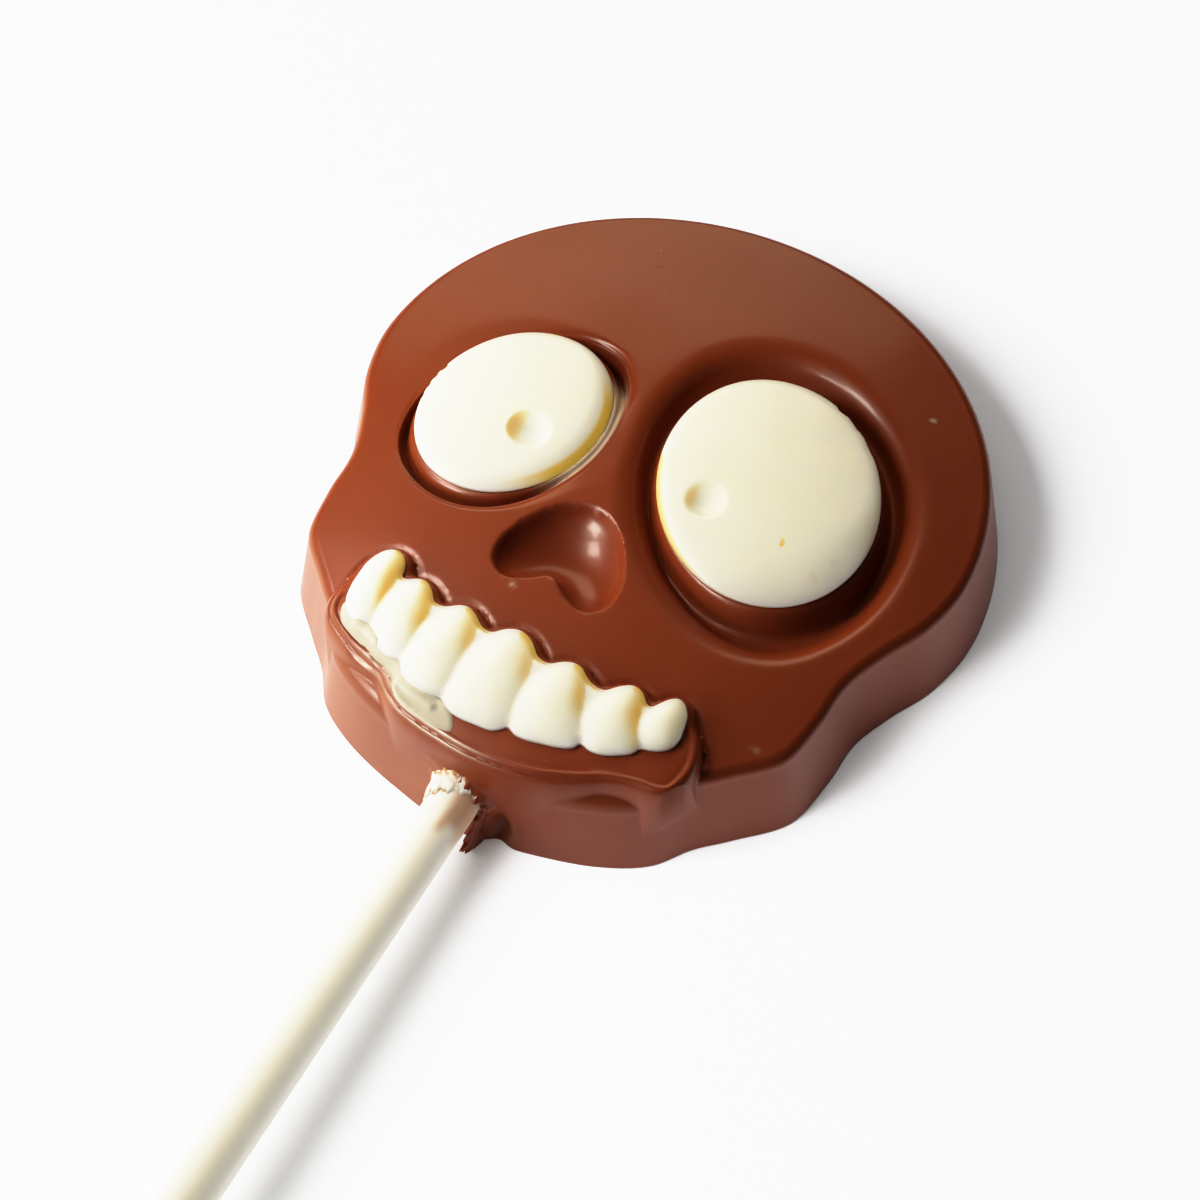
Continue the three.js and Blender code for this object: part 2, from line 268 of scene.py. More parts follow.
class BlownFilm:
    """Height from 0 at a closed outline to 1 at the highest place of a film blown up over it."""

    def __init__(self, loop, cell=0.12, rounds=2600):
        self.cell = cell
        self.low = loop.min(axis=0) - 3 * cell
        size = np.ceil((loop.max(axis=0) + 3 * cell - self.low) / cell).astype(int) + 1
        x, y = np.meshgrid(*[self.low[i] + cell * np.arange(size[i]) for i in (0, 1)], indexing="ij")
        distance = distance_to_loop(np.column_stack([x.ravel(), y.ravel()]), loop).reshape(size)
        inside = np.clip(0.5 - distance / cell, 0.0, 1.0)
        film = inside.copy()
        for _ in range(rounds):
            beside = np.roll(film, 1, 0) + np.roll(film, -1, 0) + np.roll(film, 1, 1) + np.roll(film, -1, 1)
            film = inside * (beside / 4 + PUSH)
        self.film = film / film.max()

    def at(self, points):
        """Height of the film at places on the face, 0 outside its outline. The sixteen cells
        round a place are mixed with smooth weights, so that no cell border shows."""
        place = np.clip((points - self.low) / self.cell, 1.0, np.array(self.film.shape) - 3.001)
        whole = np.floor(place).astype(int)
        t = place - whole
        weights = [(1 - t) ** 3, 3 * t**3 - 6 * t**2 + 4, -3 * t**3 + 3 * t**2 + 3 * t + 1, t**3]
        total = np.zeros(len(points))
        for a in range(4):
            for b in range(4):
                cell = self.film[whole[:, 0] + a - 1, whole[:, 1] + b - 1]
                total += cell * weights[a][:, 0] * weights[b][:, 1] / 36
        return total


small_film = BlownFilm(round_loop, cell=0.2, rounds=60)
print("film half-way to the round curve is", small_film.at(square[:1] * 0.5).round(2), "high")

# %% [markdown]
# ## Sizes
# These are the sizes of the solid model, in millimetres: X to the right across the face, Y up
# to the crown, Z out of the face. Using the same named sizes keeps the fine meshes in place.

# %% Sizes of the head
CRANIUM = {"x": 0.0, "y": 11.5, "half_width": 30.9, "height": 28.2}
LOWER_HALF_OUTLINE = [
    (29.8, 5.8), (27.7, 1.4), (26.3, -2.4), (26.0, -6.8), (24.9, -12.0), (21.2, -16.0),
    (18.6, -18.5), (16.3, -21.5), (12.6, -23.7), (6.8, -25.5),
]
CHIN_Y = -26.6
FACE_EDGE_Z = 9.4
FACE_CROWN = 1.0
WALL_DRAFT = 1.4
EDGE_RADIUS = 1.1
CHIN_EDGE_RADIUS = 2.1
FACE_CENTRE = np.array([0.0, 7.0])
OUTLINE_POINTS = 800


def skull_outline(count):
    """Outline of the flat back, anticlockwise from the right temple."""
    angles = np.linspace(0.0, math.pi, 13)
    arc = np.column_stack([
        CRANIUM["x"] + CRANIUM["half_width"] * np.cos(angles),
        CRANIUM["y"] + CRANIUM["height"] * np.sin(angles),
    ])
    left_jaw = [(-x, y) for x, y in LOWER_HALF_OUTLINE]
    right_jaw = LOWER_HALF_OUTLINE[::-1]
    curve = smooth_loop([*arc, *left_jaw, (0.0, CHIN_Y), *right_jaw], 3000)
    return spread_evenly(curve, count, lambda place: 1 + 1.3 * ease(-place[:, 1], 11.0, 15.0))


outline = skull_outline(OUTLINE_POINTS)
chin_share = ease(-outline[:, 1], 17.0, 23.0)
edge_radius = EDGE_RADIUS + (CHIN_EDGE_RADIUS - EDGE_RADIUS) * chin_share
face_edge = offset_loop(outline, -(WALL_DRAFT + edge_radius))
print("head", np.ptp(outline, axis=0).round(1), "mm wide and tall")

# %% Sizes of the eyes
EYES = {
    "eye_left": {
        "x": -13.9, "y": 8.1, "half_length": 9.6, "half_width": 7.95, "lean": -19.4,
        "seat_z": 10.0, "rim_z": 10.9, "crown_z": 11.5, "socket_z": 7.9,
        "groove_end": 1.8, "groove_side": 1.6, "shoulder": 0.45, "pupil": (-11.45, 6.3),
        "rim_reach": 0.9, "soft_rim": (-12, 75, 1.1),
        "around": [
            (-170, 0.2, 0.1, 1), (-160, 0.35, 0.5, 1), (-150, 0.6, 0.9, 1), (-133, 0.92, 1.0, 1),
            (-105, 0.87, 1.0, 1), (-82, 0.8, 0.9, 1), (-60, 0.62, 0.75, 1), (-43, 0.5, 0.45, 1),
            (-24, 0.5, 0.12, 1), (10, 0.5, 0.08, 1), (30, 0.6, 0.15, 1), (46, 0.9, 0.85, 1),
            (60, 1.05, 1.0, 1), (72, 0.8, 0.9, 1), (86, 0.35, 0.4, 1), (100, 0.15, 0.1, 1),
            (180, 0.1, 0.05, 1),
        ],
        "profile": [
            (0.0, 0.0), (0.12, -0.05), (0.26, -0.17), (0.38, -0.4), (0.48, -0.75), (0.6, -0.98),
            (0.7, -1.0), (0.8, -0.86), (0.92, -0.5), (1.0, -0.3), (1.1, -0.17),
        ],
    },
    "eye_right": {
        "x": 10.15, "y": 11.3, "half_length": 12.05, "half_width": 9.9, "lean": 31.7,
        "seat_z": 10.3, "rim_z": 11.3, "crown_z": 12.0, "socket_z": 7.6,
        "groove_end": 3.2, "groove_side": 1.9, "shoulder": 2.2, "pupil": (5.8, 6.9),
        "rim_reach": 1.1, "soft_rim": (-38, 55, 2.6),
        "around": [
            (-148, 0.62, 0.9, 0.55), (-131, 0.62, 0.95, 0.6), (-107, 0.74, 1.0, 0.75), (-87, 0.95, 1.0, 0.9),
            (-72, 1.1, 1.0, 1.0), (-59, 1.15, 1.0, 1.1), (-46, 1.05, 1.0, 1.1), (-8, 1.03, 1.0, 1.1),
            (12, 1.15, 1.0, 1.1), (37, 1.2, 1.0, 1.1), (90, 1.0, 1.0, 1.0), (120, 0.88, 0.95, 0.8),
            (148, 0.82, 0.9, 0.5), (179, 0.7, 0.85, 0.42),
        ],
        "profile": [
            (0.0, 0.0), (0.07, -0.06), (0.16, -0.22), (0.26, -0.5), (0.36, -0.82), (0.48, -0.98),
            (0.58, -1.0), (0.7, -0.95), (0.85, -0.8), (1.0, -0.62), (1.15, -0.48), (1.3, -0.37),
        ],
    },
}
SEAT_GAP = 0.1
for name, eye in EYES.items():
    print(name, 2 * eye["half_length"], "mm long and", 2 * eye["half_width"], "mm wide")


# %% [markdown]
# An eye sits in a groove that changes all the way round: it is wide and deep on one side and
# nearly gone on the other. A plain ring would look machined. So every place gets a share, which
# is -1 in the eye's centre, 0 on its rim and 1 on the groove's outer edge, and the lists above
# say how wide and deep the groove is in each direction.
#
# A row of "around" is a direction in degrees with factors for the groove's width, its depth and
# the shoulder's width. "soft_rim" is the direction in which the eye's own rim is softest, how far
# to both sides that goes, and how many millimetres the rim's round gains there.

# %% Groove in each direction
def groove_around(eye, directions):
    """Factors in each direction from an eye's centre: the groove's width and depth, and the
    shoulder's width."""
    angles, *factors = zip(*eye["around"])
    degrees = np.arange(360)
    window = np.hanning(27)[1:-1]
    result = []
    for values in factors:
        table = np.interp(degrees, angles, values, period=360)
        soft = sum(w * np.roll(table, i - 12) for i, w in enumerate(window)) / window.sum()
        result.append(np.interp(np.degrees(directions), degrees, soft, period=360))
    return result


print("groove's width below the small eye", groove_around(EYES["eye_left"], np.radians([-90.0]))[0].round(2))

# %% Ovals round an eye
def eye_half_sizes(eye, share, groove_width=1.0, shoulder_width=1.0):
    """Half width and half length of the oval at a share: -1 is the eye's centre, 0 its rim,
    1 the outer edge of the groove, and beyond that come widths of the shoulder."""
    inner = 1 + np.minimum(share, 0.0)
    groove = np.clip(share, 0.0, 1.0) * groove_width
    shoulder = np.maximum(share - 1.0, 0.0) * eye["shoulder"] * shoulder_width
    width = eye["half_width"] * inner + eye["groove_side"] * groove + shoulder
    length = eye["half_length"] * inner + eye["groove_end"] * groove + shoulder
    return width, length


def eye_oval(eye, share, count):
    """Evenly turned points on the oval of a share."""
    lean = math.radians(eye["lean"])
    angle = np.linspace(0.0, 2 * math.pi, count, endpoint=False)
    direction = np.arctan2(eye["half_length"] * np.sin(angle), eye["half_width"] * np.cos(angle)) + lean
    groove_width, _, shoulder_width = groove_around(eye, direction)
    width, length = eye_half_sizes(eye, share, groove_width, shoulder_width)
    across, along = width * np.cos(angle), length * np.sin(angle)
    return np.column_stack([
        eye["x"] + across * math.cos(lean) - along * math.sin(lean),
        eye["y"] + across * math.sin(lean) + along * math.cos(lean),
    ])


def eye_share(eye, points):
    """The share of the oval that passes through each point, found by halving."""
    lean = math.radians(eye["lean"])
    dx, dy = points[:, 0] - eye["x"], points[:, 1] - eye["y"]
    across = dx * math.cos(lean) + dy * math.sin(lean)
    along = dy * math.cos(lean) - dx * math.sin(lean)
    groove_width, _, shoulder_width = groove_around(eye, np.arctan2(dy, dx))
    low, high = np.full(len(points), -0.9999), np.full(len(points), 120.0)
    for _ in range(36):
        middle = (low + high) / 2
        width, length = eye_half_sizes(eye, middle, groove_width, shoulder_width)
        outside = (across / width) ** 2 + (along / length) ** 2 > 1
        low = np.where(outside, middle, low)
        high = np.where(outside, high, middle)
    return (low + high) / 2


for name, eye in EYES.items():
    print(name, "socket", np.ptp(eye_oval(eye, 1.0, 200), axis=0).round(1), "mm wide and tall")


# %% [markdown]
# Across its rim a socket falls from the stud that carries the eye into the groove, rises on the
# groove's outer wall and runs out over a soft shoulder into the face. That line is drawn once
# for each eye as height over share.

# %% Profile of a socket
def socket_profile(eye):
    """Height over share across the stud's side, the groove, its wall and its soft shoulder. In
    the eye's own list the height is a part of the groove's depth below the stud's seat."""
    fall = eye["seat_z"] - eye["socket_z"]
    control = [(-0.20, eye["seat_z"]), (-0.03, eye["seat_z"])]
    control += [(share, eye["seat_z"] - 0.03 + part * fall) for share, part in eye["profile"]]
    control += [
        (1.6, FACE_EDGE_Z + 0.28 * FACE_CROWN), (2.1, FACE_EDGE_Z + 0.62 * FACE_CROWN),
        (3.0, FACE_EDGE_Z + 1.02 * FACE_CROWN), (4.0, FACE_EDGE_Z + 1.6 * FACE_CROWN),
        (120.0, FACE_EDGE_Z + 90 * FACE_CROWN),
    ]
    return smooth_path(control)


socket_profiles = {name: socket_profile(eye) for name, eye in EYES.items()}
for name, profile in socket_profiles.items():
    print(name, "groove is", (profile[0, 1] - profile[:, 1].min()).round(2), "mm deep")


# %% [markdown]
# ## Nose and mouth
# The nose is a bowl with a heart-shaped rim. In the mouth each tooth has an outline of its own,
# because no two are alike. The lip's outline is the edge of the gum below the teeth.

# %% Sizes of the nose and the mouth
NOSE = {"x": -2.3, "y": -2.4, "depth": 2.7}
NOSE_HALF_RIM = [
    (0, 4.9), (3.0, 3.6), (4.9, 0.9), (5.8, -1.9), (5.4, -3.9), (3.8, -4.9), (1.8, -4.1), (0, -2.9),
]
TEETH = [
    {"x": -15.2, "tip_y": -10.2, "bite_y": -17.9}, {"x": -11.4, "tip_y": -11.7, "bite_y": -19.9},
    {"x": -6.7, "tip_y": -12.0, "bite_y": -21.6}, {"x": -1.1, "tip_y": -12.2, "bite_y": -21.9},
    {"x": 4.6, "tip_y": -12.6, "bite_y": -21.0}, {"x": 9.9, "tip_y": -12.3, "bite_y": -19.4},
    {"x": 13.8, "tip_y": -11.5, "bite_y": -17.2},
]
TOOTH_OUTLINES = [
    [(-16.6, -14.0), (-16.5, -15.6), (-16.1, -17.0), (-15.3, -18.0), (-14.2, -18.4), (-13.1, -18.0),
     (-12.7, -16.8), (-12.9, -15.0), (-13.2, -13.3), (-13.4, -11.6), (-14.0, -10.6), (-14.9, -10.3),
     (-15.7, -10.7), (-16.3, -11.7), (-16.6, -12.9)],
    [(-11.4, -11.8), (-10.5, -12.1), (-9.7, -13.0), (-9.1, -14.2), (-8.8, -15.8), (-8.5, -17.6),
     (-8.5, -19.0), (-9.2, -19.9), (-10.4, -19.9), (-11.7, -19.3), (-12.8, -18.3), (-13.5, -16.8),
     (-13.6, -15.2), (-13.3, -13.8), (-12.5, -12.4)],
    [(-6.7, -12.3), (-5.8, -12.6), (-5.0, -13.3), (-4.4, -14.6), (-4.2, -16.2), (-4.0, -18.0),
     (-3.7, -19.8), (-4.0, -21.0), (-5.0, -21.6), (-6.4, -21.7), (-7.8, -21.2), (-8.8, -20.2),
     (-9.3, -18.6), (-9.4, -16.8), (-9.0, -15.0), (-8.4, -13.7), (-7.6, -12.7)],
    [(-1.6, -12.2), (-0.6, -12.4), (0.3, -13.0), (1.0, -14.0), (1.5, -15.6), (1.9, -17.4),
     (2.2, -19.2), (2.2, -20.8), (1.2, -21.8), (-0.3, -22.0), (-1.9, -22.1), (-3.3, -21.8),
     (-4.3, -20.8), (-4.7, -19.0), (-4.8, -17.2), (-4.4, -15.4), (-3.7, -13.9), (-2.7, -12.7)],
    [(4.0, -12.8), (4.9, -12.9), (5.7, -13.6), (6.4, -14.7), (6.9, -16.0), (7.6, -17.4),
     (8.2, -18.8), (8.0, -19.9), (6.9, -20.5), (5.5, -20.9), (4.2, -21.2), (3.0, -21.2),
     (2.0, -20.5), (1.4, -19.0), (1.2, -17.4), (1.5, -15.8), (2.1, -14.4), (3.0, -13.3)],
    [(9.6, -12.3), (10.5, -12.5), (11.2, -13.2), (11.6, -14.4), (12.1, -15.6), (12.8, -16.8),
     (12.6, -17.9), (11.5, -18.8), (10.3, -19.4), (9.1, -19.5), (8.1, -18.9), (7.3, -17.9),
     (7.0, -16.6), (7.2, -15.2), (7.8, -13.9), (8.6, -12.9)],
    [(13.6, -11.6), (14.3, -11.9), (14.9, -12.7), (15.2, -13.8), (15.4, -15.0), (15.1, -16.1),
     (14.3, -16.8), (13.3, -17.1), (12.4, -16.9), (11.8, -16.0), (11.6, -14.9), (11.9, -13.6),
     (12.5, -12.5), (13.0, -11.9)],
]
TOOTH_PROUD = 1.5
WEB = {"proud": 0.5, "tip_inset": 0.7, "bite_inset": 0.5, "tip_dip": 1.5, "bite_dip": 0.75}
GUM_TOP_Z = 10.9
GUM_BORDER = 0.35
MOAT_DEPTH = 0.13
LIP_OUTLINE = [
    (-16.6, -18.6), (-15.4, -19.4), (-13.7, -20.2), (-11.5, -20.8), (-9.9, -21.3), (-8.6, -22.3),
    (-7.2, -23.2), (-4.9, -23.8), (-2.5, -24.1), (0.0, -24.3), (3.5, -24.1), (6.4, -23.5), (8.2, -22.8),
    (9.9, -22.0), (11.3, -21.2), (12.9, -20.6), (14.2, -20.3), (15.8, -20.1), (16.8, -19.6), (17.3, -18.5),
    (17.5, -17.1), (17.2, -15.4), (16.3, -13.8), (15.0, -13.2), (9.0, -14.4), (0.0, -15.0), (-9.0, -15.0),
    (-15.5, -14.0), (-17.2, -15.5), (-17.3, -17.4),
]
print(len(TOOTH_OUTLINES), "teeth over a lip drawn by", len(LIP_OUTLINE), "points")

# %% [markdown]
# The nose is an upside-down heart, the same on both sides. The seven teeth hang on one thin web
# of the same chocolate, whose outline dips between them. All of these are closed smooth curves,
# and the nose's is blown up to a bowl that will be cut into the face.

# %% Outlines of the nose and the mouth
def nose_rim(count):
    """The nose's rim, an upside-down heart."""
    right = [(NOSE["x"] + x, NOSE["y"] + y) for x, y in NOSE_HALF_RIM]
    left = [(NOSE["x"] - x, NOSE["y"] + y) for x, y in NOSE_HALF_RIM[1:-1]]
    return smooth_loop(left + right[::-1], count)


def web_loop():
    """Outline of the web that joins the teeth."""
    upper, lower = [], []
    for i, tooth in enumerate(TEETH):
        upper.append((tooth["x"], tooth["tip_y"] - WEB["tip_inset"]))
        lower.append((tooth["x"], tooth["bite_y"] + WEB["bite_inset"]))
        if i + 1 < len(TEETH):
            following = TEETH[i + 1]
            x = (tooth["x"] + following["x"]) / 2
            upper.append((x, (tooth["tip_y"] + following["tip_y"]) / 2 - WEB["tip_dip"]))
            lower.append((x, (tooth["bite_y"] + following["bite_y"]) / 2 + WEB["bite_dip"]))
    return smooth_loop(lower + upper[::-1], 180)


nose_outline = nose_rim(120)
web_outline = web_loop()
lip_outline = smooth_loop(LIP_OUTLINE, 220)
tooth_loops = [smooth_loop(points, 72) for points in TOOTH_OUTLINES]
nose_bowl = BlownFilm(nose_outline)
print("mouth", np.ptp(web_outline, axis=0).round(1), "mm wide and tall")

# %% [markdown]
# ## Surface of the face
# The whole front of the head can be seen from straight above, so its form is one height for
# each place: a low dome, cut down by two sockets and the nose, and raised by the gum. Sculpting
# would give the same look, but heights from the named sizes stay exactly on the solid model.

# %% Bare dome
edge_angles = np.arctan2(face_edge[:, 1] - FACE_CENTRE[1], face_edge[:, 0] - FACE_CENTRE[0])
edge_radii = np.linalg.norm(face_edge - FACE_CENTRE, axis=1)
edge_order = np.argsort(edge_angles)


def dome_height(points):
    """Height of the bare face, which swells towards its middle."""
    gap = points - FACE_CENTRE
    angle = np.arctan2(gap[:, 1], gap[:, 0])
    reach = np.interp(angle, edge_angles[edge_order], edge_radii[edge_order], period=2 * math.pi)
    share = np.linalg.norm(gap, axis=1) / reach
    return FACE_EDGE_Z + FACE_CROWN * (1 - share**2)


print("bare dome", dome_height(FACE_CENTRE[None])[0], "mm high in its middle")

# %% [markdown]
# The gum stands round the teeth like a thick lip. Above them it ends in a plain rounded step.
# Below them its edge is a double bead, and a short crevice runs under it on the left. A bevel
# gives only one round, so the step's form is read off a profile by the distance from its edge.

# %% Raised gum
ABOVE_TEETH = [
    (-1.1, 0.0), (-0.65, 0.06), (-0.3, -0.04), (-0.05, 0.02), (0.16, 0.22), (0.32, 0.6), (0.45, 1.15),
    (0.58, 2.0), (0.75, 3.5), (1.2, 8.0), (60.0, 600.0),
]
BELOW_TEETH = [
    (-1.3, 0.0), (-0.85, 0.1), (-0.6, 0.12), (-0.42, -0.02), (-0.28, -0.02), (-0.14, 0.12), (0.02, 0.36),
    (0.1, 0.46), (0.17, 0.42), (0.26, 0.46), (0.44, 0.72), (0.6, 1.1), (0.75, 1.8), (0.95, 3.6),
    (1.5, 9.0), (60.0, 600.0),
]


def below_gum(falls):
    """Height over distance from the gum's edge, from distances and falls below its top."""
    return smooth_path([(-40.0, GUM_TOP_Z)] + [(gap, GUM_TOP_Z - fall) for gap, fall in falls])


gum_profiles = [below_gum(ABOVE_TEETH), below_gum(BELOW_TEETH)]


def joined_distance(points, loops, fillet):
    """Distance outside the web of the teeth and further loops, softly joined."""
    distance = distance_to_loop(points, web_outline)
    for loop in loops:
        distance = soft_min(distance, distance_to_loop(points, loop), fillet)
    return distance


def gum_distance(points):
    """Distance outside the raised gum: the teeth, their web and the lip."""
    lip = offset_loop(lip_outline, -GUM_BORDER)
    return joined_distance(points, [lip, *tooth_loops], 0.5) - GUM_BORDER


def gum_height(points, gap):
    """Height of the raised gum at a distance outside its edge, far below the face where there
    is no gum. Below the teeth the edge is a double bead."""
    above, below = [np.interp(gap, profile[:, 0], profile[:, 1]) for profile in gum_profiles]
    low = ease(-points[:, 1], 16.5, 18.5) * (1 - 0.8 * ease(points[:, 0], 8.0, 13.0))
    left_end = ease(-points[:, 0], 15.9, 16.6) * ease(-points[:, 1], 11.0, 14.0)
    return above + (below - above) * np.maximum(low, left_end)


CREVICE = [(-13.6, -20.6), (-12.4, -20.8), (-11.2, -21.2), (-10.0, -21.7), (-9.1, -22.2), (-8.4, -22.8)]
CREVICE_DEPTH = 0.3
CREVICE_WIDTH = 0.27
crevice_path = smooth_path(CREVICE, 20)


def crevice_depth(points):
    """Depth of the short crevice under the lip's left end."""
    away = np.linalg.norm(points[:, None, :] - crevice_path[None], axis=2).min(axis=1)
    ends = ease(points[:, 0], -14.0, -12.6) * (1 - ease(points[:, 0], -9.6, -8.2))
    return CREVICE_DEPTH * bump(away, CREVICE_WIDTH) * ends


print("deepest in the crevice", crevice_depth(crevice_path).max().round(2), "mm")

# %% [markdown]
# The face's height at a place starts from the dome. Each socket replaces it near its eye, the
# nose and the gum are joined to it with small fillets, and a shallow moat lies beside the gum.

# %% Height of the face
NOSE_REACH = 9
NOSE_RIM_PROUD = 0.12
NOSE_FLARE = 0.5
NOSE_ROUNDNESS = 0.52
GUM_REACH_Y = -6
SOCKET_FILLET = 0.25
NOSE_FILLET = 0.3
GUM_FILLET = 0.22


def beside_small_eye(points):
    """1 to the right of the small eye, where a pale reflection is painted against its rim."""
    eye = EYES["eye_left"]
    turn = np.degrees(np.arctan2(points[:, 1] - eye["y"], points[:, 0] - eye["x"]))
    return ease(turn, -55.0, -20.0) * (1 - ease(turn, 40.0, 56.0))


def face_height(points):
    """Height of the face with its sockets, nose and gum."""
    dome = dome_height(points)
    height = dome + 0.02 * ripple(points, 9.0, 3)
    for name, eye in EYES.items():
        share = eye_share(eye, points)
        profile = np.interp(share, socket_profiles[name][:, 0], socket_profiles[name][:, 1])
        depth = groove_around(eye, np.arctan2(points[:, 1] - eye["y"], points[:, 0] - eye["x"]))[1]
        depth = 1 - (1 - depth) * ease(share, 0.0, 0.06)
        profile = dome - (dome - profile) * depth
        height = np.where(share < 0.5, profile, soft_min(height, profile, SOCKET_FILLET))
    near_nose = np.linalg.norm(points - (NOSE["x"], NOSE["y"]), axis=1) < NOSE_REACH
    rim_gap = distance_to_loop(points[near_nose], nose_outline)
    bowl = dome[near_nose] + NOSE_RIM_PROUD + NOSE_FLARE * np.maximum(rim_gap, 0.0)
    bowl -= (NOSE["depth"] + 0.5) * nose_bowl.at(points[near_nose]) ** NOSE_ROUNDNESS
    height[near_nose] = soft_min(height[near_nose], bowl, NOSE_FILLET)
    near_gum = points[:, 1] < GUM_REACH_Y
    gum_gap = gum_distance(points[near_gum])
    moat = MOAT_DEPTH * ease(gum_gap, 0.1, 0.45) * (1 - ease(gum_gap, 0.7, 1.15))
    height[near_gum] -= moat * ease(points[near_gum, 1], -18.0, -14.0)
    gum = gum_height(points[near_gum], gum_gap)
    height[near_gum] = soft_max(height[near_gum], gum, GUM_FILLET)
    height[near_gum] -= crevice_depth(points[near_gum])
    return height


print("height between the eyes", face_height(np.array([[-3.0, 12.0]])).round(2)[0], "mm")

# %% [markdown]
# ## Points of the face
# A square grid would cut steps into the steep sides of the sockets. So the points follow the
# form: rings of points round each eye, a fine lattice near the nose and the gum, and a wider
# lattice on the open face. Delaunay triangulation then joins them with even triangles.

# %% Lattices and thinning
SOCKET_SHARES = np.concatenate([
    np.linspace(-0.05, 0.22, 14), np.linspace(0.26, 1.3, 17), np.linspace(1.42, 3.0, 10),
])
RING_STEP = 0.3
FINE_STEP = 0.22
WIDE_STEP = 0.5


def lattice(low, high, step):
    """Points of a triangular lattice over a rectangle."""
    rows = np.arange(low[1], high[1], step * math.sqrt(3) / 2)
    points = []
    for i, y in enumerate(rows):
        x = np.arange(low[0] + (i % 2) * step / 2, high[0], step)
        points.append(np.column_stack([x, np.full(len(x), y)]))
    return np.vstack(points)


def thin_out(points, least):
    """Drops a point where an earlier one lies in the same small cell or in the one beside it."""
    kept, taken = [], set()
    for i, (a, b) in enumerate(np.floor(points / least).astype(int).tolist()):
        if not any((a + da, b + db) in taken for da in (-1, 0, 1) for db in (-1, 0, 1)):
            kept.append(i)
            taken.add((a, b))
    return points[kept]


print("points in one square millimetre of fine lattice", len(lattice((0, 0), (1, 1), FINE_STEP)))

# %% [markdown]
# Rims need points exactly along them, or the light would show a saw edge. So lines of points are
# set at small distances on both sides of each rim. The gum's edge is one of those that aren't
# drawn, so a rough line through the lip and above the teeth is first moved onto it.

# %% Lines to follow
NOSE_RINGS = [0.35, 0.2, 0.1, 0.03, -0.03, -0.09, -0.16, -0.24, -0.34, -0.46, -0.6]
GUM_RINGS = [
    -0.85, -0.65, -0.48, -0.34, -0.22, -0.12, -0.03, 0.05, 0.12,
    0.19, 0.26, 0.33, 0.4, 0.47, 0.54, 0.62, 0.72, 0.88,
]
CREVICE_LINES = (0, -0.12, 0.12, -0.25, 0.25, -0.4, 0.4, -0.6, 0.6)
above_tips = [(tooth["x"], tooth["tip_y"] + 0.8) for tooth in TEETH[::-1]]
gum_line = smooth_loop(LIP_OUTLINE[:22] + above_tips + [(-17.2, -13.5)], 900)
gum_line = settle_on_level(gum_line, gum_distance)
print("gum", np.ptp(gum_line, axis=0).round(1), "mm wide and tall")

# %% Points of the face
LEAST_GAP = {"rings": 0.012, "rims": 0.06, "lattices": 0.11}
RINGED_SHARE = 1.4
EDGE_GAP = 0.22


def in_rings(points, share):
    """True for the points inside an eye's oval of a share."""
    return np.any([eye_share(eye, points) < share for eye in EYES.values()], axis=0)


def eye_rings():
    """Rings of points round both eyes, each as far as the other eye's rings."""
    rings = []
    for name, eye in EYES.items():
        other = next(e for n, e in EYES.items() if n != name)
        count = int(2 * math.pi * (eye["half_length"] + 2) / RING_STEP)
        for share in SOCKET_SHARES:
            ring = eye_oval(eye, share, count)
            rings.append(ring[eye_share(other, ring) > max(share, 0.0)])
    return np.vstack(rings)


def rim_points():
    """Lines of points along the crevice and round the rims of the nose and the gum."""
    run = np.gradient(crevice_path, axis=0)
    across = np.column_stack([-run[:, 1], run[:, 0]]) / np.linalg.norm(run, axis=1)[:, None]
    lines = [crevice_path + across * away for away in CREVICE_LINES]
    lines += [offset_loop(nose_rim(400), gap) for gap in NOSE_RINGS]
    for gap in GUM_RINGS:
        ring = offset_loop(gum_line, gap)
        lines.append(ring[np.abs(gum_distance(ring) - gap) < 0.05 + 0.1 * abs(gap)])
    return thin_out(np.vstack(lines), LEAST_GAP["rims"])


def fine_lattice(low, high):
    """A fine lattice, kept only near the edge of the gum and round the nose."""
    fine = lattice(low, high, FINE_STEP)
    gum_gap = np.full(len(fine), 99.0)
    near = fine[:, 1] < GUM_REACH_Y
    gum_gap[near] = gum_distance(fine[near])
    nose_gap = distance_to_loop(fine, nose_outline)
    return fine[((gum_gap > -1.3) & (gum_gap < 2.0)) | (nose_gap < 1.0)]


def face_points():
    """Points inside the face's edge: rings round the eyes, lines along rims, and lattices."""
    low, high = face_edge.min(axis=0), face_edge.max(axis=0)
    fine = np.vstack([rim_points(), fine_lattice(low, high)])
    fine = fine[~in_rings(fine, RINGED_SHARE)]
    wide = lattice(low, high, WIDE_STEP)
    wide = wide[~in_rings(wide, SOCKET_SHARES[-1] + 0.05) | in_rings(wide, -0.07)]
    lattices = thin_out(np.vstack([fine, wide]), LEAST_GAP["lattices"])
    points = thin_out(np.vstack([eye_rings(), lattices]), LEAST_GAP["rings"])
    return points[distance_to_loop(points, face_edge) < -EDGE_GAP]


points_on_face = face_points()
print("points on the face", len(points_on_face))

# %% [markdown]
# ## Wall, back and stick hole
# The wall is a band of rings from the face's rounded edge down to the flat back. The stick goes
# into the chin through a hole with a torn edge. Cutting it with a Boolean modifier is quick, but
# leaves long thin triangles just where the chocolate is torn. Here the band has a patch of its
# own round the hole, with small triangles that can be pulled out into a ragged lip.

# %% Profile of the wall
STICK = {"diameter": 4.4, "length": 114.0, "entry_y": -26.0, "entry_z": 5.0, "embedded": 25.0, "rise": 1.2}
BORE_GAP = 0.3
EDGE_TURNS = 22
WALL_STEPS = 20
WALL_FOOT_Z = 0.3
BACK_EDGE = [(0.02, 0.16), (0.05, 0.06), (0.12, 0.0)]
STICK_RISE = math.radians(STICK["rise"])


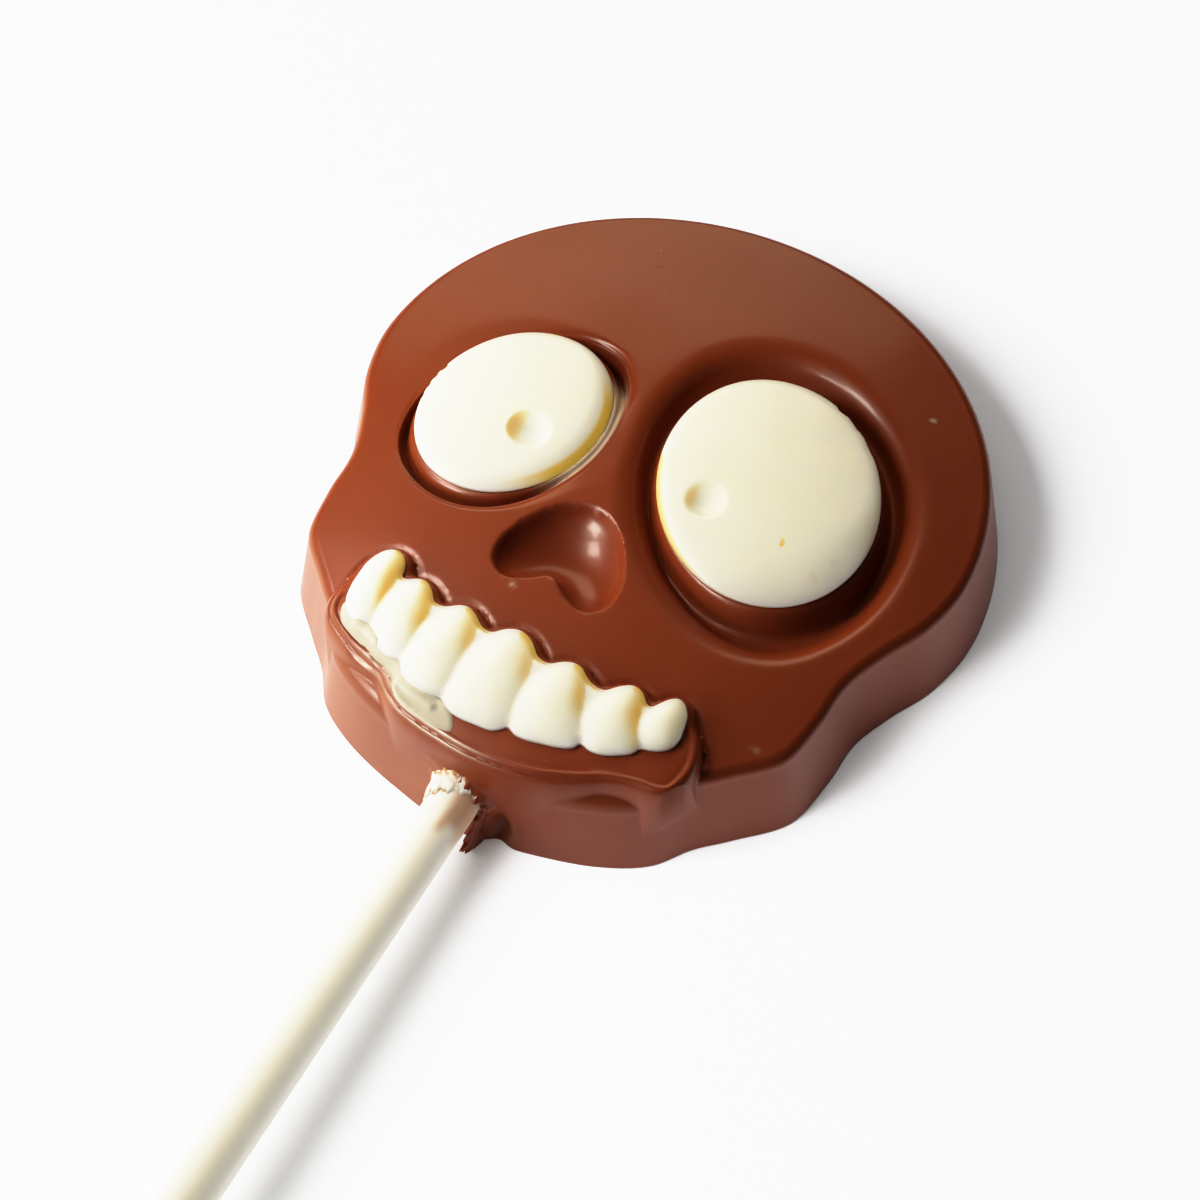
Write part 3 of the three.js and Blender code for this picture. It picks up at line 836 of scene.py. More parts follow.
def draft_inset(z):
    """How far the wall stands in from the outline of the back at a height."""
    return WALL_DRAFT * z / (FACE_EDGE_Z - EDGE_RADIUS)


def wall_rows():
    """Insets from the outline and heights, row by row, from the face's edge down to the back."""
    rows = []
    edge_foot = FACE_EDGE_Z - edge_radius
    turns = np.arccos(1 - np.linspace(1.0, 0.12, EDGE_TURNS))
    for turn in np.concatenate([turns, np.linspace(turns[-1], 0.0, 6)[1:]]):
        inset = draft_inset(edge_foot) + edge_radius * (1 - math.cos(turn))
        rows.append((inset, edge_foot + edge_radius * math.sin(turn)))
    for part in np.linspace(0.0, 1.0, WALL_STEPS + 1)[1:]:
        z = edge_foot * (1 - part) + WALL_FOOT_Z * part
        rows.append((draft_inset(z), z))
    for inset, z in BACK_EDGE:
        rows.append((np.full(OUTLINE_POINTS, inset), np.full(OUTLINE_POINTS, z)))
    return rows


print("wall leans in by", round(draft_inset(FACE_EDGE_Z), 2), "mm at the face's edge")

# %% [markdown]
# The gum reaches the face's edge on the chin and hangs over it, so the upper rows of the wall
# follow the gum's height as well. Right of the stick a small hollow is pressed into the wall.
# In its shade the torn chocolate beside the stick stands out.

# %% Wall under the gum and beside the stick
ROWS_UNDER_GUM = 34
HOLLOW_X = 3.7
HOLLOW_Z = 1.9
HOLLOW_DEPTH = 1.5

wall_grid = np.stack([np.column_stack([offset_loop(outline, -inset), z]) for inset, z in wall_rows()])
lower_jaw = np.flatnonzero(outline[:, 1] < -12)
for row in wall_grid[:ROWS_UNDER_GUM]:
    flat, height = row[lower_jaw, :2], row[lower_jaw, 2]
    gum = soft_max(height, gum_height(flat, gum_distance(flat)), GUM_FILLET)
    row[lower_jaw, 2] = np.maximum(gum, height) - crevice_depth(flat)
beside_stick = bump(wall_grid[:, :, 0] - HOLLOW_X, 1.05) * bump(wall_grid[:, :, 2] - HOLLOW_Z, 2.0)
wall_grid[:, :, 1] += HOLLOW_DEPTH * beside_stick * (wall_grid[:, :, 1] < -18)
print("wall", wall_grid.shape[0], "rows of", wall_grid.shape[1], "points")

# %% Patch round the stick hole
PATCH_HALF_WIDTH = 5.4
PATCH_TOP_Z = 8.25
PATCH_FOOT_Z = 0.9
HOLE_TURNS = 150
HOLE_GAP = 0.22
HOLE_WAVES = [(0.10, 5, 0.6), (0.07, 9, 2.0), (0.04, 17, 0.0)]
TORN_WIDER = 0.55


def bore_centre_z(y):
    """Height of the stick's axis at a place along Y."""
    return STICK["entry_z"] + (STICK["entry_y"] - y) * math.tan(STICK_RISE)


def hole_radius(angle):
    """Ragged radius of the hole's edge, wider and torn on its right and lower side."""
    ragged = sum(size * np.sin(angle * waves + start) for size, waves, start in HOLE_WAVES)
    base = STICK["diameter"] / 2 + HOLE_GAP
    return base + ragged + TORN_WIDER * bump_towards(angle, -0.5, 0.8)


chin_columns = np.flatnonzero((outline[:, 1] < -20) & (np.abs(outline[:, 0]) < 9))
patch_columns = np.flatnonzero((outline[:, 1] < -20) & (np.abs(outline[:, 0]) < PATCH_HALF_WIDTH))
chin_heights = wall_grid[:, chin_columns[len(chin_columns) // 2], 2]
inner_rows = np.flatnonzero((chin_heights < PATCH_TOP_Z) & (chin_heights > PATCH_FOOT_Z))
levels = np.linspace(PATCH_FOOT_Z - 0.4, FACE_EDGE_Z + 0.2, 150)
chin_walls = wall_grid[::-1, chin_columns].transpose(1, 2, 0)
chin_lines = np.array([[np.interp(levels, z, x), np.interp(levels, z, y)] for x, y, z in chin_walls])


def wall_y(x, z):
    """Y of the chin's wall at a place across it and a height."""
    place = np.clip(np.interp(z, levels, np.arange(len(levels))), 0, len(levels) - 1.001)
    level = place.astype(int)
    y = np.empty(len(x))
    for r in np.unique(level):
        here = level == r
        lower = np.interp(x[here], chin_lines[:, 0, r], chin_lines[:, 1, r])
        upper = np.interp(x[here], chin_lines[:, 0, r + 1], chin_lines[:, 1, r + 1])
        part = place[here] - r
        y[here] = lower * (1 - part) + upper * part
    return y


print("patch spans", len(patch_columns), "columns and", len(inner_rows), "rows")

# %% [markdown]
# ## Joining the head
# All parts share their border points, so the head comes out as one closed skin: the face, the
# wall with its patch, the tube of the stick hole and the flat back.

# %% Triangles from points and borders
def triangulate(points, borders):
    """Triangles over flat points. Each border is a list of point numbers that form a loop; the
    first encloses the area and any further one is a hole. No point is added."""
    edges = []
    for border in borders:
        edges += list(zip(border, border[1:] + border[:1]))
    result = delaunay_2d_cdt([Vector(p) for p in points.tolist()], edges, [], 1, 1e-7)
    origin = [sources[0] for sources in result[3]]
    faces = np.array([[origin[v] for v in face] for face in result[2]])
    centres = points[faces].mean(axis=1)
    for border in borders[1:]:
        faces_kept = ~inside_loop(centres, points[border])
        faces = faces[faces_kept]
        centres = centres[faces_kept]
    a, b, c = points[faces[:, 0]], points[faces[:, 1]], points[faces[:, 2]]
    area = (b[:, 0] - a[:, 0]) * (c[:, 1] - a[:, 1]) - (b[:, 1] - a[:, 1]) * (c[:, 0] - a[:, 0])
    faces[area < 0] = faces[area < 0][:, ::-1]
    return faces


print("a square makes", len(triangulate(square, [[0, 1, 2, 3]])), "triangles")

# %% Skin of points and faces
def band(first, second):
    """Faces between two closed rings of point numbers."""
    return np.column_stack([first, np.roll(first, -1), np.roll(second, -1), second])


class Skin:
    """Points and faces of one closed piece while it is put together."""

    def __init__(self):
        self.points = []
        self.faces = []
        self.count = 0

    def add_points(self, points):
        """Adds points and gives their numbers."""
        self.points.append(points)
        self.count += len(points)
        return np.arange(self.count - len(points), self.count)

    def add_faces(self, faces):
        """Adds faces, given by their point numbers."""
        self.faces += np.asarray(faces).tolist()

    def parts(self):
        """All points and faces."""
        return np.vstack(self.points), self.faces


print("band between two rings of three", band(np.arange(3), np.arange(3, 6)).tolist())

# %% Wall, face and back
top_row, foot_row = inner_rows[0], inner_rows[-1]
first_column, last_column = patch_columns[0], patch_columns[-1]
print("opening in the wall", last_column - first_column, "columns by", foot_row - top_row, "rows")


def add_wall(skin):
    """Adds the band round the head with an opening for the patch, and gives its point numbers."""
    number = skin.add_points(wall_grid.reshape(-1, 3)).reshape(wall_grid.shape[:2])
    upper, lower = number[:-1], number[1:]
    quads = np.stack([upper, lower, np.roll(lower, -1, axis=1), np.roll(upper, -1, axis=1)], axis=-1)
    closed = np.full(upper.shape, True)
    closed[top_row:foot_row, first_column:last_column] = False
    skin.add_faces(quads[closed])
    return number


def add_face_and_back(skin, number):
    """Fills the band's upper border with the face and its lower one with the flat back."""
    border = [list(range(OUTLINE_POINTS))]
    top = triangulate(np.vstack([wall_grid[0, :, :2], points_on_face]), border)
    inner = skin.add_points(np.column_stack([points_on_face, face_height(points_on_face)]))
    skin.add_faces(np.concatenate([number[0], inner])[top])
    back = triangulate(wall_grid[-1, :, :2], border)
    skin.add_faces(number[-1][back[:, ::-1]])


# %% [markdown]
# The stick was pushed in while the chocolate was setting, and pulled as it left the mould. That
# leaves a raised ragged lip over the stick, on its right and under it.

# %% Torn edge of the stick hole
def torn_relief(placed, turn, from_edge):
    """How far the wall is pulled out towards the stick's free end, in millimetres."""
    over = bump_towards(turn, 1.5, 1.0)
    right = bump_towards(turn, 0.3, 0.45)
    under = bump_towards(turn, -1.9, 0.5)
    near = bump(from_edge, 0.38)
    wide = bump(from_edge, 0.9)
    crumbs = np.abs(ripple(placed, 0.55, 8)) * 0.35 + np.abs(ripple(placed, 0.3, 9)) * 0.2
    lip = near * (0.55 * over + 0.75 * right + 0.8 * under) * (0.5 + crumbs * 1.6)
    return lip + 0.25 * wide * over + 0.3 * wide * under


above_hole = torn_relief(np.zeros((1, 2)), np.array([1.5]), np.array([0.0]))
print("torn lip above the stick stands out by", above_hole.round(2), "mm")

# %% Patch and tube of the stick hole
hole_turn = np.linspace(0, 2 * math.pi, HOLE_TURNS, endpoint=False)
hole_ring = np.column_stack([np.cos(hole_turn), np.sin(hole_turn)])
hole_centre = np.array([0.0, bore_centre_z(CHIN_Y + 0.6)])
print("hole", (2 * hole_radius(hole_turn)).mean().round(2), "mm wide on average")


def from_hole(places):
    """Direction from the hole's centre and distance outside its ragged edge, seen from the front."""
    gap = places - hole_centre
    turn = np.arctan2(gap[:, 1], gap[:, 0])
    return turn, np.linalg.norm(gap, axis=1) - hole_radius(turn)


PATCH_STEP = 0.15
TUBE_PARTS = (0.03, 0.09, 0.2, 0.6, 1.0)


def add_patch(skin, number):
    """Adds the patch, drawn seen from the front with X across and Z up. Gives the points of the
    hole's edge and their numbers."""
    border = np.concatenate([
        number[top_row, first_column:last_column],
        number[top_row:foot_row, last_column],
        number[foot_row, first_column + 1 : last_column + 1][::-1],
        number[top_row + 1 : foot_row + 1, first_column][::-1],
    ])
    border_flat = wall_grid.reshape(-1, 3)[border][:, [0, 2]]
    hole = hole_centre + hole_ring * hole_radius(hole_turn)[:, None]
    inner = lattice(border_flat.min(axis=0), border_flat.max(axis=0), PATCH_STEP)
    clear = (from_hole(inner)[1] > 0.09) & (distance_to_loop(inner, border_flat) < -0.12)
    placed = np.vstack([hole, inner[clear]])
    edge = list(range(len(border), len(border) + HOLE_TURNS))
    patch = triangulate(np.vstack([border_flat, placed]), [list(range(len(border))), edge])
    inside_patch = ease(-distance_to_loop(placed, border_flat), 0.0, 0.9)
    y = wall_y(placed[:, 0], placed[:, 1]) - torn_relief(placed, *from_hole(placed)) * inside_patch
    points = np.column_stack([placed[:, 0], y, placed[:, 1]])
    numbers = skin.add_points(points)
    skin.add_faces(np.concatenate([border, numbers])[patch])
    return points[:HOLE_TURNS], numbers[:HOLE_TURNS]


def add_tube(skin, edge, before):
    """Adds the tube that the stick stands in, from the torn edge to its blind end."""
    radius = STICK["diameter"] / 2 + BORE_GAP
    inner_end = STICK["entry_y"] + STICK["embedded"] + BORE_GAP
    for part in TUBE_PARTS:
        y = edge[:, 1] * (1 - part) + inner_end * part
        blend = min(1.0, part / TUBE_PARTS[1])
        size = hole_radius(hole_turn) * (1 - blend) + radius * blend
        ring = np.column_stack([hole_ring[:, 0] * size, y, bore_centre_z(y) + hole_ring[:, 1] * size])
        here = skin.add_points(ring)
        skin.add_faces(band(before, here))
        before = here
    skin.add_faces([before])


# %% Put the head together
head = Skin()
wall_numbers = add_wall(head)
add_face_and_back(head, wall_numbers)
add_tube(head, *add_patch(head, wall_numbers))
print("head", head.count, "points and", len(head.faces), "faces")

# %% [markdown]
# ## From arrays to pieces
# A piece here is a mesh object at the origin with its place in its points, as the model's own nodes are.
# Each piece takes the place of one node, unless it is too thin to have one. It rides with the part's body.
# Writing the mesh from arrays keeps every point where it was worked out.

# %% Make a piece
dressed_pieces = []


def make_piece(name, points, faces, node=None, slot=None, sharp=60.0):
    """A smooth-shaded mesh object in metres from points in millimetres."""
    used = np.unique(np.concatenate([np.asarray(face) for face in faces]))
    numbers = np.zeros(len(points), dtype=int)
    numbers[used] = np.arange(len(used))
    mesh = bpy.data.meshes.new(name)
    corners = (np.asarray(points)[used] * MM).tolist()
    mesh.from_pydata(corners, [], [numbers[list(face)].tolist() for face in faces])
    mesh.validate()
    mesh.shade_smooth()
    mesh.set_sharp_from_angle(angle=math.radians(sharp))
    piece = bpy.data.objects.new(name, mesh)
    scene.collection.objects.link(piece)
    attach(piece, "root")
    if node:
        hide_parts(node)
    dressed_pieces.append(piece)
    print(name, len(mesh.vertices), "points", len(mesh.polygons), "faces")
    return piece


def places(piece):
    """The points of a piece in millimetres."""
    flat = np.empty(len(piece.data.vertices) * 3, dtype=np.float32)
    piece.data.vertices.foreach_get("co", flat)
    return flat.reshape(-1, 3) / MM


def turned_towards(piece, direction):
    """How far each point's normal leans in a direction, from -1 to 1."""
    normals = np.empty(len(piece.data.vertices) * 3, dtype=np.float32)
    piece.data.vertex_normals.foreach_get("vector", normals)
    return normals.reshape(-1, 3) @ np.array(direction)


def paint(piece, name, values):
    """Stores one number for each point of a piece, for its material to read."""
    attribute = piece.data.attributes.new(name, "FLOAT", "POINT")
    attribute.data.foreach_set("value", np.asarray(values, dtype=np.float32))


chocolate_head = make_piece("chocolate_head", *head.parts(), "skull_body", "milk_chocolate")

# %% [markdown]
# ## Pale places on the chocolate
# The head isn't brown all over. A few pale crumbs stick to the face. The rest is painted light: a reflection
# of the lit sheet on the left wall, a pale reflection in the groove beside the small eye, and highlights
# along the lip's two crests. A texture could be brushed on by hand. One number painted on each point, worked
# out from where it lies, does the same and can be changed later.

# %% Painted reflections, painted highlights and crumbs
CRUMBS = [(25.07, -10.86), (22.12, -17.81), (20.89, -11.87), (19.31, 25.91), (-4.87, -7.91)]
CRUMB_SIZE = 0.2

here = places(chocolate_head)
share = eye_share(EYES["eye_left"], here[:, :2])
beside = beside_small_eye(here[:, :2]) * (here[:, 2] > 8.0)
# Painted reflection: the wall turned to the left, towards the lit sheet, is painted paler.
left_wall = ease(turned_towards(chocolate_head, (-0.85, -0.52, 0.0)), 0.35, 0.95) * (here[:, 2] > 0.2)
paint(chocolate_head, "painted_wall_reflection", left_wall * (distance_to_loop(here[:, :2], face_edge) > -0.4))
# Painted reflection in the groove to the right of the small eye.
crumbs_and_painted_sheen = beside * ease(share, -0.2, 0.0) * (1 - ease(share, 0.6, 1.15))
on_lip = np.flatnonzero((here[:, 1] < -17) & (here[:, 2] > 8) & (here[:, 0] > -15) & (here[:, 0] < 4))
lip = here[on_lip]
gap = gum_distance(lip[:, :2])
# Painted highlights along the lip's two crests.
crests = bump(gap + 0.2, 0.11) + 0.8 * bump(gap - 0.27, 0.1)
crests *= ease(lip[:, 0], -14.0, -11.5) * (1 - ease(lip[:, 0], -2.5, 3.0))
crests *= 0.75 + 0.25 * ripple(lip, 1.5, 81)
crumbs_and_painted_sheen[on_lip] = np.maximum(crumbs_and_painted_sheen[on_lip], np.clip(crests, 0.0, 1.0))
# Pale crumbs stuck to the face.
for x, y in CRUMBS:
    crumb = bump(np.hypot(here[:, 0] - x, here[:, 1] - y), CRUMB_SIZE)
    crumbs_and_painted_sheen = np.maximum(crumbs_and_painted_sheen, 0.8 * crumb * (here[:, 2] > 9.0))
paint(chocolate_head, "crumbs_and_painted_sheen", crumbs_and_painted_sheen)
print("wall_reflection points", int((left_wall > 0.5).sum()), "and pale points", int((crumbs_and_painted_sheen > 0.5).sum()))

# %% [markdown]
# ## White eyes
# The white chocolate was poured first, into the eye hollows of the mould, so each eye is a low
# dome with a rounded rim and a small round dent for a pupil. A subdivided sphere would round the
# rim too much. Rings from the rim to the middle give the rim its own radius.

# %% Pupil and chips
EYE_TURNS = 288
PUPIL_RADIUS = 2.35
PUPIL_DEPTH = 0.9
RIM_CHIPS = {
    "eye_left": [
        (-22.3, 5.4, 0.22, 0.5), (-22.4, 6.7, 0.42, 0.5), (-22.2, 7.9, 0.32, 0.4), (-21.9, 9.1, 0.3, 0.5),
    ],
    "eye_right": [(12.2, 22.3, 0.30, 0.7), (14.2, 21.4, 0.16, 1.0), (16.2, 19.6, 0.12, 1.2)],
}


def press_pupil(points, eye, rim_foot):
    """Presses the small round dent of the pupil into the dome and makes the dome a bit uneven."""
    from_pupil = np.linalg.norm(points[:, :2] - eye["pupil"], axis=1)
    ball = PUPIL_RADIUS**2 - np.minimum(from_pupil, PUPIL_RADIUS) ** 2
    dent = eye["crown_z"] - PUPIL_DEPTH + PUPIL_RADIUS - np.sqrt(ball)
    above_rim = points[:, 2] > rim_foot
    blend = 0.3 + 0.75 * ease((points[:, :2] - eye["pupil"]) @ (0.8, 0.6), -1.6, 2.2)
    points[above_rim, 2] = soft_min(points[above_rim, 2], dent[above_rim], blend[above_rim])
    points[:, 2] += 0.03 * ripple(points[:, :2], 5.0, 21) * above_rim


def chip_rim(points, eye, chips, seat):
    """Pushes ragged chips into the rim. Each has a place, a depth and a width."""
    centre = np.array([eye["x"], eye["y"]])
    for x, y, depth, width in chips:
        away = np.linalg.norm(points[:, :2] - (x, y), axis=1)
        ragged = 1 + 0.5 * ripple(points, 0.5, 5)
        push = depth * np.clip(1.15 - away / width, 0.0, 1.0) * ragged * (points[:, 2] > seat + 0.1)
        inward = centre - points[:, :2]
        inward /= np.linalg.norm(inward + 1e-9, axis=1)[:, None]
        points[:, :2] += inward * push[:, None]


print("chips on the rims", {name: len(chips) for name, chips in RIM_CHIPS.items()})

# %% Eye caps
RIM_FOOT = 0.12
RIM_WIDTH = 0.9
RIM_POWER = 2.3
DOME_POWER = 2.4
TUCK = 0.03


def eye_cap(name, eye):
    """Points and faces of one white eye, from its seat up to the middle of its dome."""
    seat = eye["seat_z"] + SEAT_GAP
    rim_foot = seat + RIM_FOOT
    middle, half_spread, more = eye["soft_rim"]
    turn = np.linspace(0.0, 360.0, EYE_TURNS, endpoint=False) + eye["lean"] - middle
    away = np.abs(np.mod(turn + 180.0, 360.0) - 180.0)
    soft = 1 - ease(away, 0.25 * half_spread, 1.3 * half_spread)
    reach = eye["rim_reach"] + more * soft
    over_rim = RIM_WIDTH * (1 - np.cos(np.linspace(0, math.pi / 2, 18)))
    over_dome = np.linspace(RIM_WIDTH, eye["half_width"], 46)[1:-1]
    insets = np.concatenate([[-TUCK, -TUCK / 2], over_rim, over_dome])
    rings = []
    for inset in insets:
        share = 1 - inset / eye["half_width"]
        out = np.clip(1 - inset / reach, 0.0, 1.0)
        round_rim = (1 - out**RIM_POWER) ** (1 / RIM_POWER)
        soft_rim = round_rim + (np.cos(out * math.pi / 2) - round_rim) * soft
        z = rim_foot + (eye["rim_z"] - rim_foot) * soft_rim
        z += (eye["crown_z"] - eye["rim_z"]) * (1 - max(share, 0.0) ** DOME_POWER)
        if inset < 0:
            z = seat + (rim_foot - seat) * (inset + TUCK) / TUCK
        oval = eye_oval(eye, min(share, 1.0) - 1, EYE_TURNS)
        rings.append(np.column_stack([oval, z * np.ones(EYE_TURNS)]))
    points = np.vstack(rings + [np.array([[eye["x"], eye["y"], eye["crown_z"]]])])
    press_pupil(points, eye, rim_foot)
    chip_rim(points, eye, RIM_CHIPS[name], seat)
    ring = np.arange(EYE_TURNS)
    skin = Skin()
    skin.add_points(points)
    skin.add_faces([ring[::-1]])
    for _ in rings[1:]:
        skin.add_faces(band(ring, ring + EYE_TURNS))
        ring = ring + EYE_TURNS
    skin.add_faces(np.column_stack([ring, np.roll(ring, -1), np.full(EYE_TURNS, len(points) - 1)]))
    return skin.parts()


white_eyes = []
for node_name, piece_name in (("eye_left", "small_white_eye"), ("eye_right", "large_white_eye")):
    cap = eye_cap(node_name, EYES[node_name])
    white_eyes.append(make_piece(piece_name, *cap, node_name, "white_chocolate"))


# %% [markdown]
# ## Teeth
# The teeth are one casting of white chocolate: seven pillows with thin webs between them.
# Metaballs would melt them together in the same way, but each tooth has an outline of its own.
# So each is a film blown up over its outline, and a soft highest-of gives the joints one width.

# %% Teeth as one casting
TOOTH_JOINT = 0.26
TEETH_SEAT_Z = GUM_TOP_Z + SEAT_GAP
TEETH_FOOT = 0.1
TEETH_RINGS = (0.03, 0.07, 0.13, 0.21, 0.32)
TEETH_STEP = 0.19
TOOTH_ROUNDNESS = 0.58
tooth_films = [BlownFilm(loop) for loop in tooth_loops]


def teeth_distance(points):
    """Distance outside the casting of teeth."""
    return joined_distance(points, tooth_loops, 0.4)


def teeth_height(points):
    """Height of the casting above its seat."""
    web_distance = distance_to_loop(points, web_outline)
    height = WEB["proud"] * np.sin(np.clip(-web_distance / 0.6, 0.0, 1.0) * math.pi / 2)
    for film in tooth_films:
        height = soft_max(height, (TOOTH_PROUD - 0.2) * film.at(points) ** TOOTH_ROUNDNESS, TOOTH_JOINT)
    return height


teeth_loop = settle_on_level(spread_evenly(offset_loop(web_outline, 0.4), 620), teeth_distance)
print("row of teeth", np.ptp(teeth_loop, axis=0).round(1), "mm wide and tall")


def teeth_mesh():
    """Points and faces of the casting, closed below by its flat seat."""
    inner = []
    for inset in TEETH_RINGS:
        ring = offset_loop(teeth_loop, -inset)
        inner.append(ring[teeth_distance(ring) < -0.6 * inset])
    filling = lattice(teeth_loop.min(axis=0), teeth_loop.max(axis=0), TEETH_STEP)
    filling = filling[teeth_distance(filling) < -0.4]
    flat = np.vstack([teeth_loop] + [thin_out(np.vstack(inner + [filling]), 0.028)])
    count = len(teeth_loop)
    height = np.maximum(teeth_height(flat), 0.0) + TEETH_FOOT
    height[:count] = TEETH_FOOT
    height += 0.02 * ripple(flat, 2.2, 31) * ease(height, 0.3, 1.0)
    skin = Skin()
    here = skin.add_points(np.column_stack([flat, TEETH_SEAT_Z + height]))[:count]
    below = skin.add_points(np.column_stack([teeth_loop, np.full(count, TEETH_SEAT_Z)]))
    skin.add_faces(triangulate(flat, [list(range(count))]))
    skin.add_faces(band(below, here))
    skin.add_faces(below[triangulate(teeth_loop, [list(range(count))])[:, ::-1]])
    return skin.parts()


white_teeth = make_piece("white_teeth", *teeth_mesh(), "teeth", "white_chocolate")

# %% [markdown]
# A little white chocolate ran out of the mould's teeth and set as a film on the lower lip, on
# the left. It is far too thin for the solid model, so it is a thin skin laid on the gum.

# %% Film of spilt white chocolate
FILM_OUTLINE = [
    (-16.3, -17.0), (-15.6, -18.6), (-14.3, -19.3), (-12.6, -19.9), (-11.0, -20.5), (-9.7, -20.9),
    (-8.8, -21.6), (-7.9, -22.6), (-6.6, -23.3), (-4.8, -23.65), (-3.0, -23.75), (-1.9, -23.4),
    (-2.2, -22.4), (-3.6, -21.4), (-5.2, -21.0), (-7.5, -20.6), (-9.0, -19.4), (-11.0, -18.6),
    (-13.5, -17.4), (-15.6, -16.4),
]
FILM_THICKNESS = 0.12
FILM_SUNK = 0.06
FILM_BESIDE_TEETH = 0.3
FILM_RIDGES = [((-14.2, -18.3), (-11.6, -19.0), 0.3), ((-8.1, -21.6), (-4.4, -22.3), 0.3)]


def film_mesh():
    """Points and faces of the film: a thin skin on the face with rounded edges."""
    loop = smooth_loop(FILM_OUTLINE, 260)
    filling = lattice(loop.min(axis=0), loop.max(axis=0), FINE_STEP)
    rings = [offset_loop(loop, -inset) for inset in (0.04, 0.1, 0.2)]
    filling = filling[distance_to_loop(filling, loop) < -0.3]
    flat = np.vstack([loop, thin_out(np.vstack(rings + [filling]), 0.035)])
    inside = np.clip(-distance_to_loop(flat, loop) / 0.35, 0.0, 1.0)
    inside[: len(loop)] = 0.0
    ground = face_height(flat)
    lift = FILM_THICKNESS * np.sin(inside * math.pi / 2) * (1 + 0.25 * ripple(flat, 3.0, 12))
    lift += FILM_BESIDE_TEETH * np.exp(-np.maximum(teeth_distance(flat), 0.0) / 0.4) * inside
    for start, end, rise in FILM_RIDGES:
        run = np.subtract(end, start)
        part = np.clip((flat - start) @ run / (run @ run), 0.0, 1.0)
        away = np.linalg.norm(flat - start - part[:, None] * run, axis=1)
        lift += rise * bump(away, 0.3) * inside
    top = triangulate(flat, [list(range(len(loop)))])
    skin = Skin()
    here = skin.add_points(np.column_stack([flat, ground + 0.01 + lift]))
    below = skin.add_points(np.column_stack([flat, ground - FILM_SUNK]))
    skin.add_faces(here[top])
    skin.add_faces(band(below[: len(loop)], here[: len(loop)]))
    skin.add_faces(below[top[:, ::-1]])
    return skin.parts()


white_film = make_piece("white_film", *film_mesh(), None, "white_chocolate")

# %% [markdown]
# ## Paper stick
# A lollipop stick is one sheet of paper rolled tight. It shows a fine step where the sheet ends
# along its length, and a spiral of layers at its cut end. A plain cylinder shows neither, so the
# rings are given a step at the seam, and the end face follows the spiral.

# %% Rolled stick
STICK_TURNS = 120
SEAM_TURN = 2.3
SEAM_STEP = 0.035
PAPER_LAYER = 0.2
SIDE_RINGS = 110
END_RINGS = 34
WOBBLE = 0.012


def stick_ring(size, along, wobble=0.0):
    """Points round the stick at a distance along it from its inner end."""
    angle = np.linspace(0.0, 2 * math.pi, STICK_TURNS, endpoint=False)
    past_seam = np.mod(angle - SEAM_TURN, 2 * math.pi) / (2 * math.pi)
    radius = size - SEAM_STEP * (1 - past_seam) * (size > 1.5) - wobble
    x = radius * np.cos(angle)
    z = radius * np.sin(angle)
    y_inner = STICK["entry_y"] + STICK["embedded"]
    y = np.full(STICK_TURNS, y_inner - along * math.cos(STICK_RISE)) + z * math.sin(STICK_RISE)
    base_z = STICK["entry_z"] + (along - STICK["embedded"]) * math.sin(STICK_RISE)
    return np.column_stack([x, y, base_z + z * math.cos(STICK_RISE)])


def stick_mesh():
    """Points and faces of the stick: inner end, sides and the spiral of its free end."""
    full = STICK["diameter"] / 2
    length = STICK["length"]
    rings = [stick_ring(full - 0.2, 0.02), stick_ring(full, 0.2)]
    for along in np.linspace(1.0, length - 0.35, SIDE_RINGS):
        wobble = WOBBLE * abs(math.sin(along * 0.9)) * abs(math.sin(along * 0.23))
        rings.append(stick_ring(full, along, wobble))
    rings.append(stick_ring(full - 0.01, length - 0.12))
    rings.append(stick_ring(full - 0.08, length - 0.02))
    angle = np.linspace(0.0, 2 * math.pi, STICK_TURNS, endpoint=False)
    for size in np.linspace(full - 0.14, 0.12, END_RINGS):
        ring = stick_ring(size, length)
        layer = np.mod(size / PAPER_LAYER + angle / (2 * math.pi), 1.0)
        ring[:, 1] += 0.07 * np.abs(layer - 0.5) * 2 + 0.03
        rings.append(ring)
    skin = Skin()
    before = skin.add_points(rings[0])
    skin.add_faces([before[::-1]])
    for ring in rings[1:]:
        here = skin.add_points(ring)
        skin.add_faces(band(before, here))
        before = here
    skin.add_faces([before])
    return skin.parts()


paper_stick = make_piece("paper_stick", *stick_mesh(), "stick", "paper", sharp=40.0)

# %% Stain on the stick's right side
here = places(paper_stick)
flank = ease(turned_towards(paper_stick, (0.94, 0.0, 0.34)), 0.35, 0.75)
stained = flank * (1 - ease(-here[:, 1] + 1.2 * ripple(here, 2.5, 41), 28.6, 30.4))
paint(paper_stick, "stain", 0.8 * stained)
paint(paper_stick, "caramel", np.zeros(len(here)))
print("stained points on the stick", int((stained > 0.5).sum()))

# %% [markdown]
# ## Torn stick hole
# At the hole the paper's outer layer has burst into a white lumpy collar with caramel edges, and
# a curl of chocolate hangs along the stick down to the sheet. Dynamic topology could pull such
# scraps out of the pieces. Two thin closed shells bent round the stick are easier to steer.

